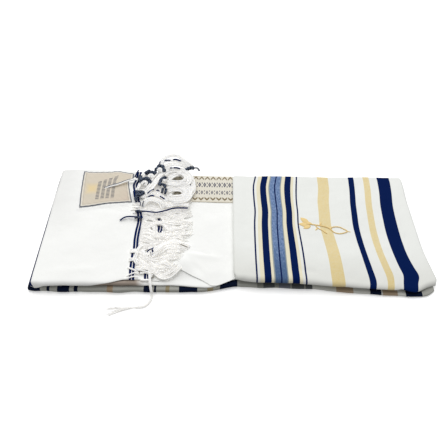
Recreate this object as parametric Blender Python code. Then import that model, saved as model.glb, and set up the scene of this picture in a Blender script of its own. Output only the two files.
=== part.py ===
"""A prayer shawl (tallit) folded in half lengthwise, folded again into a flat pile and laid down.

Metres, +Z up.  The origin is the middle of the flat underside: X runs along the folded length,
+Y towards the back, where the two long edges of the cloth lie together.
"""

import math
import random
from collections import namedtuple

import bmesh
import bpy
from mathutils import Vector

# Driving sizes
FOLDED_LENGTH = 0.680
CLOTH_WALL = 0.0018  # two pressed plies of the doubled cloth
PATCH_WALL = 0.0012
SEAM_GAP = 0.0004
HALF_LENGTH = FOLDED_LENGTH / 2
FLOOR_GAP = 0.0006

MIDDLE_TOP = 0.0138  # top of the middle stretch, above the surface it lies on
END_HEM = -0.166  # where the end stretch stops, before its fringe
STACK_STEP = -0.1842  # the hidden layers step down here, under the end stretch
RIGHT_STEP = 0.0110  # and step up here, inside the right stretch's left fold
RIGHT_FOLD_LEFT = -0.0005
UNDER_HEM_START = STACK_STEP + 0.0012
MIDDLE_END = RIGHT_STEP - 0.0015

FRONT_LIP = 0.0060  # how far in from its front fold a stretch is rounded
BACK_LIP = 0.0030
CORNER_ROUND = 0.0050
LIP_STOP = math.radians(20)
WRAP_STOP = math.radians(-70)
LIP_STEPS = 3
WRAP_STEPS = 8
TUCK_STOP = math.radians(-80)
COLUMN_STEP = 0.0165
TOP_ROWS = 12

# One row for each place along X: the front and back edges, and the height there
Stretch = namedtuple("Stretch", "x front back top")
END_STRETCH = (
    Stretch(-0.332, -0.1395, 0.1365, 0.0196),
    Stretch(-0.300, -0.1355, 0.1365, 0.0214),
    Stretch(-0.250, -0.1305, 0.1360, 0.0212),
    Stretch(-0.205, -0.1275, 0.1355, 0.0196),
    Stretch(-0.180, -0.1262, 0.1350, 0.0182),
    Stretch(-0.150, -0.1262, 0.1350, 0.0182),
)
RIGHT_STRETCH = (
    Stretch(-0.001, -0.1225, 0.1255, 0.0236),
    Stretch(0.040, -0.1235, 0.1265, 0.0240),
    Stretch(0.110, -0.1280, 0.1285, 0.0226),
    Stretch(0.200, -0.1335, 0.1305, 0.0186),
    Stretch(0.280, -0.1375, 0.1350, 0.0152),
    Stretch(0.318, -0.1385, 0.1380, 0.0133),
    Stretch(0.340, -0.1320, 0.1395, 0.0122),
)
MIDDLE_STRETCH = (
    Stretch(-0.190, -0.1270, 0.1345, MIDDLE_TOP),
    Stretch(-0.150, -0.1290, 0.1345, MIDDLE_TOP),
    Stretch(-0.127, -0.1255, 0.1345, MIDDLE_TOP),
    Stretch(-0.112, -0.1200, 0.1345, MIDDLE_TOP),
    Stretch(-0.093, -0.1060, 0.1345, MIDDLE_TOP),
    Stretch(-0.070, -0.1130, 0.1345, MIDDLE_TOP),
    Stretch(-0.040, -0.1250, 0.1345, MIDDLE_TOP),
    Stretch(-0.015, -0.1275, 0.1340, MIDDLE_TOP),
    Stretch(0.012, -0.1180, 0.1335, MIDDLE_TOP),
)
# The pile of hidden layers: its outline, the height of its layered sides, and its shoulder,
# from which the visible stretch above it covers it
Pile = namedtuple("Pile", "x front back side shoulder")
HIDDEN_PILE = (
    Pile(-0.3375, -0.1360, 0.1320, 0.0125, -0.1345),
    Pile(-0.322, -0.1360, 0.1330, 0.0125, -0.1325),
    Pile(-0.305, -0.1405, 0.1340, 0.0130, -0.1310),
    Pile(-0.250, -0.1410, 0.1335, 0.0140, -0.1255),
    Pile(-0.205, -0.1405, 0.1335, 0.0125, -0.1225),
    Pile(-0.186, -0.1400, 0.1335, 0.0100, -0.1215),
    Pile(-0.150, -0.1400, 0.1330, 0.0098, -0.1355),
    Pile(-0.060, -0.1395, 0.1330, 0.0098, -0.1350),
    Pile(0.005, -0.1300, 0.1290, 0.0092, -0.1200),
    Pile(0.030, -0.1215, 0.1245, 0.0084, -0.1185),
    Pile(0.110, -0.1260, 0.1265, 0.0082, -0.1230),
    Pile(0.200, -0.1315, 0.1285, 0.0070, -0.1285),
    Pile(0.300, -0.1360, 0.1310, 0.0056, -0.1330),
    Pile(0.3375, -0.1350, 0.1310, 0.0046, -0.1320),
)
HIDDEN_LAYERS = 3
PILE_GAP = 0.0008
LAYER_GROOVE = 0.0028
LAYER_SETBACK = 0.0007
PILE_CORNER = 0.0100
PILE_SHOULDER_IN = 0.0012
PILE_TOP_IN = 0.0045
PILE_BACK_IN = 0.0035
PILE_SHOULDER_DROP = 0.0022
PILE_STATION = 0.0210
PILE_END_ROUND = 0.032
PILE_END_STEPS = (0, 0.0008, 0.003, 0.007, 0.0125, 0.021, PILE_END_ROUND)
# A layer's side: shares of its height, and how deep the groove is there
LAYER_SIDE = ((0.04, 0.8), (0.3, 0.05), (0.68, 0.05), (0.94, 0.9))

# Where the under half's hem runs, right of the end stretch
HemPoint = namedtuple("HemPoint", "y hem")
UNDER_HEM = (
    HemPoint(-0.129, -0.1390),
    HemPoint(-0.095, -0.1375),
    HemPoint(-0.060, -0.1360),
    HemPoint(-0.020, -0.1310),
    HemPoint(0.030, -0.1290),
    HemPoint(0.090, -0.1270),
    HemPoint(0.133, -0.1280),
)
UNDER_FRONT = -0.1270
UNDER_BACK = 0.1330
HEM_STEP = 0.0135

# Soft humps and hollows of the cloth: centre, reach along and across, turn and height
Hump = namedtuple("Hump", "x y along across turn height")
MIDDLE_HUMPS = (
    Hump(-0.093, -0.088, 0.0230, 0.0250, 0, 0.0078),
    Hump(-0.098, -0.058, 0.0200, 0.0075, 18, 0.0030),
    Hump(-0.052, -0.070, 0.0300, 0.0080, -10, 0.0016),
    Hump(-0.030, 0.010, 0.0350, 0.0160, 25, 0.0010),
)
END_HUMPS = (
    Hump(-0.290, -0.040, 0.0300, 0.0800, 10, 0.0010),
    Hump(-0.235, -0.085, 0.0500, 0.0250, -15, -0.0009),
    Hump(-0.215, 0.010, 0.0300, 0.0450, 30, 0.0008),
)
RIGHT_HUMPS = (
    Hump(0.050, -0.095, 0.0450, 0.0200, 10, 0.0012),
    Hump(0.145, -0.045, 0.0220, 0.0600, 20, -0.0014),
    Hump(0.205, -0.080, 0.0200, 0.0450, 25, 0.0014),
    Hump(0.235, 0.060, 0.0500, 0.0350, -20, 0.0010),
    Hump(0.300, -0.095, 0.0200, 0.0450, 30, 0.0013),
)

# The corner patch, by its corners on the end stretch, and the neckband, by its edges
PATCH_CORNERS = {"back_left": (-0.2935, 0.1330), "back_right": (-0.1950, 0.1320),
                 "front_left": (-0.2850, 0.0350), "front_right": (-0.1900, 0.0460)}
NECKBAND = {"left": -0.0985, "right": 0.0010, "front": 0.0555, "back": 0.1300}

# Fringe
FRINGE_SEED = 22
STRIP_WIDTH = 0.0032
FRINGE_RADIUS = 0.00075
FRINGE_SEGMENTS = 4
FRINGE_SIDES = 4
UPPER_FRINGE_COUNT = 44
UNDER_FRINGE_COUNT = 34
UPPER_RIDE = 0.0035  # strand centres of the upper fringe above the middle stretch
UNDER_RIDE = 0.0016

# Tzitzit: a wound cord with knots, then loose strings.  A string leaves with a heading in
# degrees, turns by its curl over its whole length, and keeps its own height over the cloth.
TzitzitString = namedtuple("TzitzitString", "heading curl length ride")
UPPER_STRINGS = (
    TzitzitString(104, -205, 0.118, 0.0070),
    TzitzitString(84, -170, 0.106, 0.0080),
    TzitzitString(62, -135, 0.098, 0.0090),
    TzitzitString(40, -95, 0.088, 0.0095),
    TzitzitString(18, -52, 0.078, 0.0095),
    TzitzitString(-6, -14, 0.058, 0.0095),
)
UNDER_STRINGS = (
    TzitzitString(24, -50, 0.050, 0.0060),
    TzitzitString(4, -20, 0.062, 0.0055),
    TzitzitString(-14, 20, 0.070, 0.0050),
    TzitzitString(-34, 44, 0.078, 0.0045),
    TzitzitString(-56, 62, 0.086, 0.0060),
    TzitzitString(-80, 96, 0.094, 0.0075),
)
STRING_DROP = 0.0060
STRING_RADIUS = 0.0009
STRING_SEGMENTS = 11
STRING_SIDES = 4
WINDING_RADIUS = 0.0027
WINDING_SIDES = 8
KNOT_SWELL = 1.35
# Routes of the wound cords, and heights of their centres over what they lie on
UPPER_CORD_ROUTE = ((-0.2500, 0.1030, 0.0014), (-0.2260, 0.1080, 0.0014), (-0.2060, 0.1105, 0.0030),
                    (-0.1860, 0.1110, 0.0044), (-0.1680, 0.1160, 0.0046), (-0.1520, 0.1270, 0.0100),
                    (-0.1380, 0.1360, 0.0160))
UPPER_CORD_KNOTS = (0.44, 0.58, 0.72, 0.86, 0.99)
UPPER_CORD_PLAIN = 0.38
UNDER_CORD_ROUTE = ((-0.1560, 0.0900, 0.0084), (-0.1440, 0.0960, 0.0084), (-0.1300, 0.0990, 0.0084),
                    (-0.1150, 0.0985, 0.0084))
UNDER_CORD_KNOTS = (0.05, 0.36, 0.68, 0.99)

# The long string that hangs over the front edge, with its knot and frayed end on the floor
FRONT_STRING_ROUTE = ((-0.1400, -0.1180, 0.0188), (-0.1390, -0.1270, 0.0180), (-0.1380, -0.1350, 0.0155),
                      (-0.1370, -0.1418, 0.0120), (-0.1362, -0.1436, 0.0070), (-0.1364, -0.1462, 0.0026),
                      (-0.1385, -0.1520, 0.0017), (-0.1430, -0.1590, 0.0017), (-0.1500, -0.1640, 0.0017),
                      (-0.1590, -0.1665, 0.0020))
FRONT_STRING_RADIUS = 0.0010
FRONT_KNOT_RADIUS = 0.0019
FRAY_STRINGS = 7
FRAY_LENGTH = 0.034
FRAY_SPREAD = 34
FRAY_HEADING = 196

LOOKS = {  # colour, roughness
    "white_cloth": ((0.90, 0.90, 0.88), 0.85),
    "striped_cloth": ((0.72, 0.76, 0.84), 0.80),
    "patch_satin": ((0.72, 0.64, 0.50), 0.60),
    "band_satin": ((0.80, 0.75, 0.62), 0.60),
    "white_thread": ((0.93, 0.92, 0.89), 0.85),
    "navy_thread": ((0.04, 0.07, 0.22), 0.80),
}


def clear_scene():
    for thing in list(bpy.data.objects):
        bpy.data.objects.remove(thing, do_unlink=True)


def look(name):
    if name in bpy.data.materials:
        return bpy.data.materials[name]
    colour, roughness = LOOKS[name]
    material = bpy.data.materials.new(name)
    material.use_nodes = True
    shader = material.node_tree.nodes["Principled BSDF"]
    shader.inputs["Base Color"].default_value = (*colour, 1)
    shader.inputs["Roughness"].default_value = roughness
    shader.inputs["Metallic"].default_value = 0
    return material


def add_object(name, mesh, material):
    thing = bpy.data.objects.new(name, mesh)
    bpy.context.scene.collection.objects.link(thing)
    mesh.materials.append(look(material))
    mesh.shade_smooth()
    mesh.set_sharp_from_angle(angle=math.radians(50))
    return thing


def smooth_read(rows, key, column):
    """A column of a table read between its rows on a smooth curve through them."""
    keys = [row[0] for row in rows]
    values = [getattr(row, column) for row in rows]
    if key <= keys[0]:
        return values[0]
    if key >= keys[-1]:
        return values[-1]
    k = max(i for i in range(len(keys) - 1) if keys[i] <= key)

    def slope(i):
        low = max(i - 1, 0)
        high = min(i + 1, len(keys) - 1)
        return (values[high] - values[low]) / (keys[high] - keys[low])

    span = keys[k + 1] - keys[k]
    t = (key - keys[k]) / span
    start = (1 + 2 * t) * (1 - t) ** 2 * values[k] + t * (1 - t) ** 2 * span * slope(k)
    end = t * t * (3 - 2 * t) * values[k + 1] + t * t * (t - 1) * span * slope(k + 1)
    return start + end


def ease(low, high, value):
    t = min(max((value - low) / (high - low), 0), 1)
    return t * t * (3 - 2 * t)


def mix(a, b, t):
    return a + (b - a) * t


def humps(rows, x, y):
    """Height that the soft humps add at a point."""
    total = 0
    for row in rows:
        turn = math.radians(row.turn)
        dx = x - row.x
        dy = y - row.y
        u = (dx * math.cos(turn) + dy * math.sin(turn)) / row.along
        v = (dy * math.cos(turn) - dx * math.sin(turn)) / row.across
        total += row.height * math.exp(-u * u - v * v)
    return total


def middle_top(x, y):
    return MIDDLE_TOP + humps(MIDDLE_HUMPS, x, y)


def under_hem_top(x, y):
    return MIDDLE_TOP + SEAM_GAP + CLOTH_WALL + humps(MIDDLE_HUMPS, x, y)


def end_top(x, y):
    flat_zone = ease(-0.215, -0.190, x)
    return smooth_read(END_STRETCH, x, "top") + humps(END_HUMPS, x, y) * (1 - flat_zone)


def right_top(x, y):
    calm_fold = ease(0.0, 0.03, x) * (1 - ease(0.30, 0.335, x))
    return smooth_read(RIGHT_STRETCH, x, "top") + humps(RIGHT_HUMPS, x, y) * calm_fold


def pile_top(x, y):
    """Top of the hidden layers, just under the stretches that cover them."""
    if x < STACK_STEP:
        return end_top(x, y) - CLOTH_WALL - PILE_GAP
    if x < RIGHT_STEP:
        return MIDDLE_TOP - CLOTH_WALL - SEAM_GAP
    return right_top(x, y) - CLOTH_WALL - PILE_GAP


def grid_mesh(name, columns, rows, place):
    """A quad sheet: place(column, row) gives each point; faces point up where columns run +X."""
    sheet = bmesh.new()
    points = [[sheet.verts.new(place(c, r)) for r in rows] for c in columns]
    for i in range(len(columns) - 1):
        for j in range(len(rows) - 1):
            sheet.faces.new((points[i][j], points[i + 1][j], points[i + 1][j + 1], points[i][j + 1]))
    mesh = bpy.data.meshes.new(name)
    sheet.to_mesh(mesh)
    sheet.free()
    return mesh


def thicken(thing, wall):
    wall_modifier = thing.modifiers.new("wall", "SOLIDIFY")
    wall_modifier.thickness = wall
    wall_modifier.offset = -1
    wall_modifier.use_even_offset = True
    return thing


def spaced(start, stop, step):
    count = max(1, round(abs(stop - start) / step))
    return [mix(start, stop, i / count) for i in range(count + 1)]


Column = namedtuple("Column", "x turn side")  # side -1 or 1 where the cloth wraps an end fold
Row = namedtuple("Row", "edge share turn")


def lip_rows(across_steps):
    """Rows from the front fold's rounded lip, over the top, to the back edge's small lip."""
    turns = [mix(LIP_STOP, math.pi / 2, i / LIP_STEPS) for i in range(LIP_STEPS)]
    rows = [Row("front", 0, turn) for turn in turns]
    rows += [Row("top", share, math.pi / 2) for share in spaced(0, 1, 1 / across_steps)]
    rows += [Row("back", 0, turn) for turn in reversed(turns)]
    return rows


def stretch_place(table, top, lip_height, wrap_height=None):
    """A function from column and row to the outer surface of one stretch of cloth."""

    def place(column, row):
        x = column.x
        front = smooth_read(table, x, "front")
        back = smooth_read(table, x, "back")
        if column.side:
            corner = CORNER_ROUND * math.cos(column.turn)
            front += corner
            back -= corner
        if row.edge == "front":
            y = front + FRONT_LIP * (1 - math.cos(row.turn))
        elif row.edge == "back":
            y = back - BACK_LIP * (1 - math.cos(row.turn))
        else:
            y = mix(front + FRONT_LIP, back - BACK_LIP, row.share)
        high = top(x, y)
        lip = lip_height(x, high) * (0.5 if row.edge == "back" and not column.side else 1)
        centre = high - lip
        z = centre + lip * math.sin(row.turn)
        if column.side:
            low, middle = wrap_height(x, y, high)
            half = high - middle if column.turn > 0 else middle - low
            z = middle + half * math.sin(column.turn) * math.sin(row.turn)
            x += column.side * (high - middle) * math.cos(column.turn)
        return Vector((x, y, z))

    return place


def wrap_columns(x, side, stop=WRAP_STOP):
    turns = [mix(math.pi / 2, stop, (i + 1) / WRAP_STEPS) for i in range(WRAP_STEPS)]
    return [Column(x, turn, side) for turn in turns]


def end_lip(x, high):
    hanging = mix(high / 2, 0.0050, ease(-0.330, -0.318, x))
    return mix(hanging, 0, ease(-0.205, -0.188, x))


def build_end_stretch():
    """The white end of the shawl, wrapped over the left fold."""
    fold_top = END_STRETCH[0].top
    fold_x = -HALF_LENGTH + fold_top / 2
    flat = [Column(x, 0, 0) for x in spaced(fold_x, END_HEM, COLUMN_STEP)]
    columns = list(reversed(wrap_columns(fold_x, -1))) + flat
    place = stretch_place(END_STRETCH, end_top, end_lip, lambda x, y, high: (FLOOR_GAP, high / 2))
    mesh = grid_mesh("end_stretch", columns, lip_rows(TOP_ROWS), place)
    return thicken(add_object("end_stretch", mesh, "white_cloth"), CLOTH_WALL)


def build_right_stretch():
    """The striped stretch on top, wrapped over the right fold and tucked under at its left fold."""
    right_top_edge = RIGHT_STRETCH[-1].top
    right_x = HALF_LENGTH - right_top_edge / 2
    left_half = (RIGHT_STRETCH[0].top - MIDDLE_TOP - SEAM_GAP) / 2

    def wrap_height(x, y, high):
        if x < 0.1:
            neckband = PATCH_WALL + SEAM_GAP
            low = middle_top(x, y) + SEAM_GAP + neckband * ease(0.035, NECKBAND["front"] - 0.004, y)
            return low, (low + high) / 2
        return FLOOR_GAP, high / 2

    left_x = RIGHT_FOLD_LEFT + left_half

    def lip(x, high):
        return mix(left_half, 0.52 * high, ease(left_x, left_x + 0.014, x))

    flat = [Column(x, 0, 0) for x in spaced(left_x, left_x + 0.016, 0.005)[:-1]]
    flat += [Column(x, 0, 0) for x in spaced(left_x + 0.016, right_x, COLUMN_STEP)]
    columns = list(reversed(wrap_columns(left_x, -1, TUCK_STOP))) + flat + wrap_columns(right_x, 1)
    place = stretch_place(RIGHT_STRETCH, right_top, lip, wrap_height)
    mesh = grid_mesh("right_stretch", columns, lip_rows(TOP_ROWS), place)
    return thicken(add_object("right_stretch", mesh, "striped_cloth"), CLOTH_WALL)


def build_middle_stretch():
    """The white stretch between the piles, with the arched fold at its front edge."""
    columns = [Column(x, 0, 0) for x in spaced(UNDER_HEM_START, -0.136, 0.012)[:-1]]
    columns += [Column(x, 0, 0) for x in spaced(-0.136, -0.052, 0.0085)[:-1]]
    columns += [Column(x, 0, 0) for x in spaced(-0.052, MIDDLE_END, 0.012)]
    rows = lip_rows(1)
    shares = (0.03, 0.07, 0.11, 0.15, 0.19, 0.23, 0.27, 0.32, 0.38, 0.45, 0.53, 0.61, 0.69, 0.77, 0.85, 0.93)
    top_rows = [Row("top", share, math.pi / 2) for share in (0, *shares, 1)]
    rows = [row for row in rows if row.edge == "front"] + top_rows + [r for r in rows if r.edge == "back"]
    place = stretch_place(MIDDLE_STRETCH, middle_top, lambda x, high: 0.3 * (high - MIDDLE_TOP))
    mesh = grid_mesh("middle_stretch", columns, rows, place)
    return thicken(add_object("middle_stretch", mesh, "white_cloth"), CLOTH_WALL)


def under_hem_x(y):
    return smooth_read(UNDER_HEM, y, "hem")


def build_under_end():
    """The under half's end, which shows right of the upper half's hem."""
    shares = spaced(0, 1, 0.25)

    def place(share, y):
        x = mix(UNDER_HEM_START, under_hem_x(y), share)
        return Vector((x, y, under_hem_top(x, y)))

    mesh = grid_mesh("under_end", shares, spaced(UNDER_FRONT, UNDER_BACK, HEM_STEP), place)
    return thicken(add_object("under_end", mesh, "white_cloth"), CLOTH_WALL)


def build_hidden_layers():
    """One rounded solid for the layers inside the pile, with a groove between each two at its sides."""
    left = HIDDEN_PILE[0].x
    right = HIDDEN_PILE[-1].x
    after_round = 0.050
    beside_step = 0.0006
    stations = [left + d for d in PILE_END_STEPS]
    stations += spaced(left + after_round, STACK_STEP - beside_step, PILE_STATION)
    stations += spaced(STACK_STEP + beside_step, RIGHT_STEP - beside_step, PILE_STATION)
    stations += spaced(RIGHT_STEP + beside_step, right - after_round, PILE_STATION)
    stations += [right - d for d in reversed(PILE_END_STEPS)]
    shares = spaced(0, 1, 1 / 10)

    def end_distance(x):
        return min(x - left, right - x)

    def corner(x):
        d = min(end_distance(x) / PILE_CORNER, 1)
        return PILE_CORNER * (1 - math.sqrt(1 - (1 - d) ** 2))

    def end_inset(x, z):
        """How far the round end is drawn in at a height, inside the cloth wrapped over it."""
        wrapped = END_STRETCH[0].top if x < 0 else RIGHT_STRETCH[-1].top
        radius = wrapped / 2 - CLOTH_WALL - 2 * SEAM_GAP
        off = abs(z - wrapped / 2)
        if off >= radius:
            return radius + 0.0012
        return radius - math.sqrt(radius * radius - off * off)

    def moved(x, z):
        fade = max(0, 1 - end_distance(x) / PILE_END_ROUND) ** 2
        return x + (1 if x < 0 else -1) * end_inset(x, z) * fade

    def level_point(x, share, level):
        """A point of a ring of the pile's side; level gives its height and how far in it lies."""
        height = level["height"](x)
        front = smooth_read(HIDDEN_PILE, x, level["edge"]) + level["inset"]
        back = smooth_read(HIDDEN_PILE, x, "back") - level["inset"] - level["back_inset"]
        y = mix(front + corner(x), back - corner(x), share)
        return Vector((moved(x, height), y, height))

    def side_height(share):
        return lambda x: share * smooth_read(HIDDEN_PILE, x, "side")

    levels = []
    for layer in range(HIDDEN_LAYERS):
        for within, depth in LAYER_SIDE:
            if layer == 0 and within < 0.1:
                within = 0
            share = (layer + within) / HIDDEN_LAYERS
            inset = depth * LAYER_GROOVE + layer * LAYER_SETBACK
            levels.append({"height": side_height(share), "edge": "front", "inset": inset,
                           "back_inset": 0})

    def shoulder_height(x):
        side = smooth_read(HIDDEN_PILE, x, "side")
        crown = min(pile_top(x, 0), pile_top(x, -0.1)) - PILE_SHOULDER_DROP
        return max(side + 0.0002, mix(side, crown, 0.35))

    levels.append({"height": shoulder_height, "edge": "shoulder", "inset": PILE_SHOULDER_IN,
                   "back_inset": PILE_BACK_IN})
    solid = bmesh.new()

    def ring(level):
        path = [(x, 0) for x in stations[:-1]]
        path += [(stations[-1], share) for share in shares[:-1]]
        path += [(x, 1) for x in reversed(stations[1:])]
        path += [(stations[0], share) for share in reversed(shares[1:])]
        return [solid.verts.new(level_point(x, share, level)) for x, share in path]

    rings = [ring(level) for level in levels]
    around = len(rings[0])
    for low, high in zip(rings, rings[1:]):
        for k in range(around):
            n = (k + 1) % around
            solid.faces.new((low[k], low[n], high[n], high[k]))

    # the covered top, from the shoulder inward
    inner = {"height": lambda x: pile_top(x, 0), "edge": "shoulder",
             "inset": PILE_SHOULDER_IN + PILE_TOP_IN, "back_inset": PILE_BACK_IN}
    crown = []
    for x in stations:
        column = []
        for share in shares:
            point = level_point(x, share, inner)
            point.z = pile_top(x, point.y)
            column.append(solid.verts.new(point))
        crown.append(column)
    for a, b in zip(crown, crown[1:]):
        for j in range(len(shares) - 1):
            solid.faces.new((a[j], b[j], b[j + 1], a[j + 1]))
    last = len(stations) - 1
    top_loop = [crown[i][0] for i in range(last)] + [crown[last][j] for j in range(len(shares) - 1)]
    top_loop += [crown[i][-1] for i in range(last, 0, -1)]
    top_loop += [crown[0][j] for j in range(len(shares) - 1, 0, -1)]
    for k in range(around):
        n = (k + 1) % around
        solid.faces.new((rings[-1][k], rings[-1][n], top_loop[n], top_loop[k]))

    # the flat underside, in strips from front to back
    floor = rings[0]
    ends = len(shares) - 1
    for i in range(last):
        front_a = floor[i]
        front_b = floor[i + 1]
        back_b = floor[last + ends + (last - i - 1)]
        back_a = floor[last + ends + (last - i)] if i else None
        if i == 0:
            left_end = [floor[k % around] for k in range(around - ends, around + 1)]
            solid.faces.new([front_b, front_a] + list(reversed(left_end[:-1])) + [back_b])
        elif i == last - 1:
            right_end = floor[last:last + ends + 1]
            solid.faces.new([front_a, back_a] + list(reversed(right_end)))
        else:
            solid.faces.new((front_b, front_a, back_a, back_b))
    bmesh.ops.recalc_face_normals(solid, faces=solid.faces)
    mesh = bpy.data.meshes.new("hidden_layers")
    solid.to_mesh(mesh)
    solid.free()
    return add_object("hidden_layers", mesh, "striped_cloth")


def build_corner_patch():
    """The square patch that strengthens the corner, laid on the end stretch."""

    def place(along, across):
        front = [mix(PATCH_CORNERS["front_left"][k], PATCH_CORNERS["front_right"][k], along) for k in (0, 1)]
        back = [mix(PATCH_CORNERS["back_left"][k], PATCH_CORNERS["back_right"][k], along) for k in (0, 1)]
        x = mix(front[0], back[0], across)
        y = mix(front[1], back[1], across)
        return Vector((x, y, end_top(x, y) + SEAM_GAP + PATCH_WALL))

    mesh = grid_mesh("corner_patch", spaced(0, 1, 1 / 6), spaced(0, 1, 1 / 6), place)
    return thicken(add_object("corner_patch", mesh, "patch_satin"), PATCH_WALL)


def build_neckband():
    """The woven neckband, laid on the middle stretch along its back edge."""

    def place(x, y):
        return Vector((x, y, middle_top(x, y) + SEAM_GAP + PATCH_WALL))

    columns = spaced(NECKBAND["left"], NECKBAND["right"], 0.0145)
    rows = spaced(NECKBAND["front"], NECKBAND["back"], 0.0150)
    mesh = grid_mesh("neckband", columns, rows, place)
    return thicken(add_object("neckband", mesh, "band_satin"), PATCH_WALL)


def tube_mesh(name, route, radii, sides):
    """A closed round thread along a route, with flat ends."""
    tube = bmesh.new()
    rings = []
    up = Vector((0, 0, 1))
    for k, point in enumerate(route):
        before = route[max(k - 1, 0)]
        after = route[min(k + 1, len(route) - 1)]
        ahead = (after - before).normalized()
        side = ahead.cross(up).normalized()
        over = side.cross(ahead).normalized()
        ring = []
        for s in range(sides):
            turn = 2 * math.pi * (s + 0.5) / sides
            ring.append(tube.verts.new(point + radii[k] * (side * math.cos(turn) + over * math.sin(turn))))
        rings.append(ring)
    for low, high in zip(rings, rings[1:]):
        for s in range(sides):
            n = (s + 1) % sides
            tube.faces.new((low[s], low[n], high[n], high[s]))
    tube.faces.new(rings[0])
    tube.faces.new(rings[-1])
    bmesh.ops.recalc_face_normals(tube, faces=tube.faces)
    mesh = bpy.data.meshes.new(name)
    tube.to_mesh(mesh)
    tube.free()
    return mesh


def fuse(backing, meshes):
    """Union each thread into its backing."""
    for mesh in meshes:
        thread = bpy.data.objects.new("thread", mesh)
        bpy.context.scene.collection.objects.link(thread)
        union = backing.modifiers.new("union", "BOOLEAN")
        union.operation = "UNION"
        union.solver = "EXACT"
        union.object = thread
        graph = bpy.context.evaluated_depsgraph_get()
        fused = bpy.data.meshes.new_from_object(backing.evaluated_get(graph))
        backing.modifiers.clear()
        backing.data = fused
        bpy.data.objects.remove(thread, do_unlink=True)
    return backing


def joined(name, meshes):
    """Several closed threads that don't touch, as one mesh."""
    together = bmesh.new()
    for mesh in meshes:
        together.from_mesh(mesh)
    mesh = bpy.data.meshes.new(name)
    together.to_mesh(mesh)
    together.free()
    return mesh


def strip_mesh(name, edge_x, top, low_y, high_y):
    """The narrow edge strip that carries a fringe: edge_x and top give its place at each y."""
    strip = bmesh.new()
    rings = []
    for y in spaced(low_y, high_y, HEM_STEP):
        x = edge_x(y) + SEAM_GAP
        z = top(x, y)
        corners = ((x, z - CLOTH_WALL), (x + STRIP_WIDTH, z - CLOTH_WALL), (x + STRIP_WIDTH, z), (x, z))
        rings.append([strip.verts.new((cx, y, cz)) for cx, cz in corners])
    for low, high in zip(rings, rings[1:]):
        for s in range(4):
            n = (s + 1) % 4
            strip.faces.new((low[s], low[n], high[n], high[s]))
    strip.faces.new(rings[0])
    strip.faces.new(rings[-1])
    bmesh.ops.recalc_face_normals(strip, faces=strip.faces)
    mesh = bpy.data.meshes.new(name)
    strip.to_mesh(mesh)
    strip.free()
    return mesh


def fringe_threads(count, edge_x, low_y, high_y, root_top, ride, reach, drift, chance):
    """Threads that leave the hem side by side, drift together and never cross."""
    spacing = (high_y - low_y) / count
    threads = []
    for i in range(count):
        root_y = low_y + (i + 0.5) * spacing
        length = reach(root_y) * chance.uniform(0.82, 1.0)
        sway = chance.uniform(-0.22, 0.22) * spacing
        lift = chance.uniform(0.0, 0.0006)
        route = []
        for k in range(FRINGE_SEGMENTS + 1):
            t = k / FRINGE_SEGMENTS
            x = edge_x(root_y) + SEAM_GAP + 0.0014 + length * t
            y = root_y + drift(root_y, t) + sway * math.sin(math.pi * t)
            root_z = root_top(x, y) - CLOTH_WALL / 2
            z = mix(root_z, middle_top(x, y) + ride(y) + lift, ease(0.0, 0.2, t))
            route.append(Vector((x, y, z)))
        radii = [FRINGE_RADIUS * (1 - 0.25 * (k == FRINGE_SEGMENTS)) for k in range(FRINGE_SEGMENTS + 1)]
        threads.append(tube_mesh("fringe_thread", route, radii, FRINGE_SIDES))
    return threads


def build_upper_fringe():
    chance = random.Random(FRINGE_SEED)
    low_y = -0.1150
    high_y = 0.1300
    strip = strip_mesh("upper_fringe", lambda y: END_HEM, end_top, low_y, high_y)
    strip = add_object("upper_fringe", strip, "white_thread")

    def reach(y):
        return mix(0.062 + 0.016 * math.sin(19 * y + 1.0), 0.034, ease(0.015, 0.042, y))

    def drift(y, t):
        return (-0.010 * ease(-0.02, 0.10, y) + 0.006 * math.sin(24 * y)) * t * t

    threads = fringe_threads(UPPER_FRINGE_COUNT, lambda y: END_HEM, low_y, high_y, end_top,
                             lambda y: UPPER_RIDE, reach, drift, chance)
    return fuse(strip, [joined("upper_threads", threads)])


def build_under_fringe():
    chance = random.Random(FRINGE_SEED + 1)
    strip = strip_mesh("under_fringe", under_hem_x, under_hem_top, UNDER_FRONT, UNDER_BACK)
    strip = add_object("under_fringe", strip, "white_thread")

    def reach(y):
        return mix(0.054 + 0.010 * math.sin(23 * y), 0.024, ease(0.030, 0.060, y))

    def drift(y, t):
        return 0.008 * math.sin(21 * y + 0.6) * t * t

    def over_neckband(y):
        return UNDER_RIDE + (PATCH_WALL + 2 * SEAM_GAP) * ease(0.032, 0.046, y)

    threads = fringe_threads(UNDER_FRINGE_COUNT, under_hem_x, UNDER_FRONT + 0.004, UNDER_BACK - 0.004,
                             under_hem_top, over_neckband, reach, drift, chance)
    return fuse(strip, [joined("under_threads", threads)])


def route_points(route, ground):
    return [Vector((x, y, ground(x, y) + ride)) for x, y, ride in route]


def smooth_route(points, count):
    """Points at even steps along a smooth curve through the given ones."""
    rows = []
    for k in range(count + 1):
        s = k / count * (len(points) - 1)
        i = min(int(s), len(points) - 2)
        t = s - i
        p0 = points[max(i - 1, 0)]
        p1 = points[i]
        p2 = points[i + 1]
        p3 = points[min(i + 2, len(points) - 1)]
        rows.append(0.5 * (2 * p1 + (p2 - p0) * t + (2 * p0 - 5 * p1 + 4 * p2 - p3) * t * t
                           + (3 * p1 - p0 - 3 * p2 + p3) * t ** 3))
    return rows


def wound_cord(name, route, knots, plain, material):
    """The wound part of a tzitzit, thicker at its knots; up to plain it is a bare doubled string."""
    count = 30
    points = smooth_route(route, count)
    radii = []
    for k in range(count + 1):
        share = k / count
        radius = STRING_RADIUS if share < plain else WINDING_RADIUS
        near = min(abs(share - knot) for knot in knots)
        radii.append(radius * (KNOT_SWELL if near < 0.02 and share >= plain else 1))
    return add_object(name, tube_mesh(name, points, radii, WINDING_SIDES), material)


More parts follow.
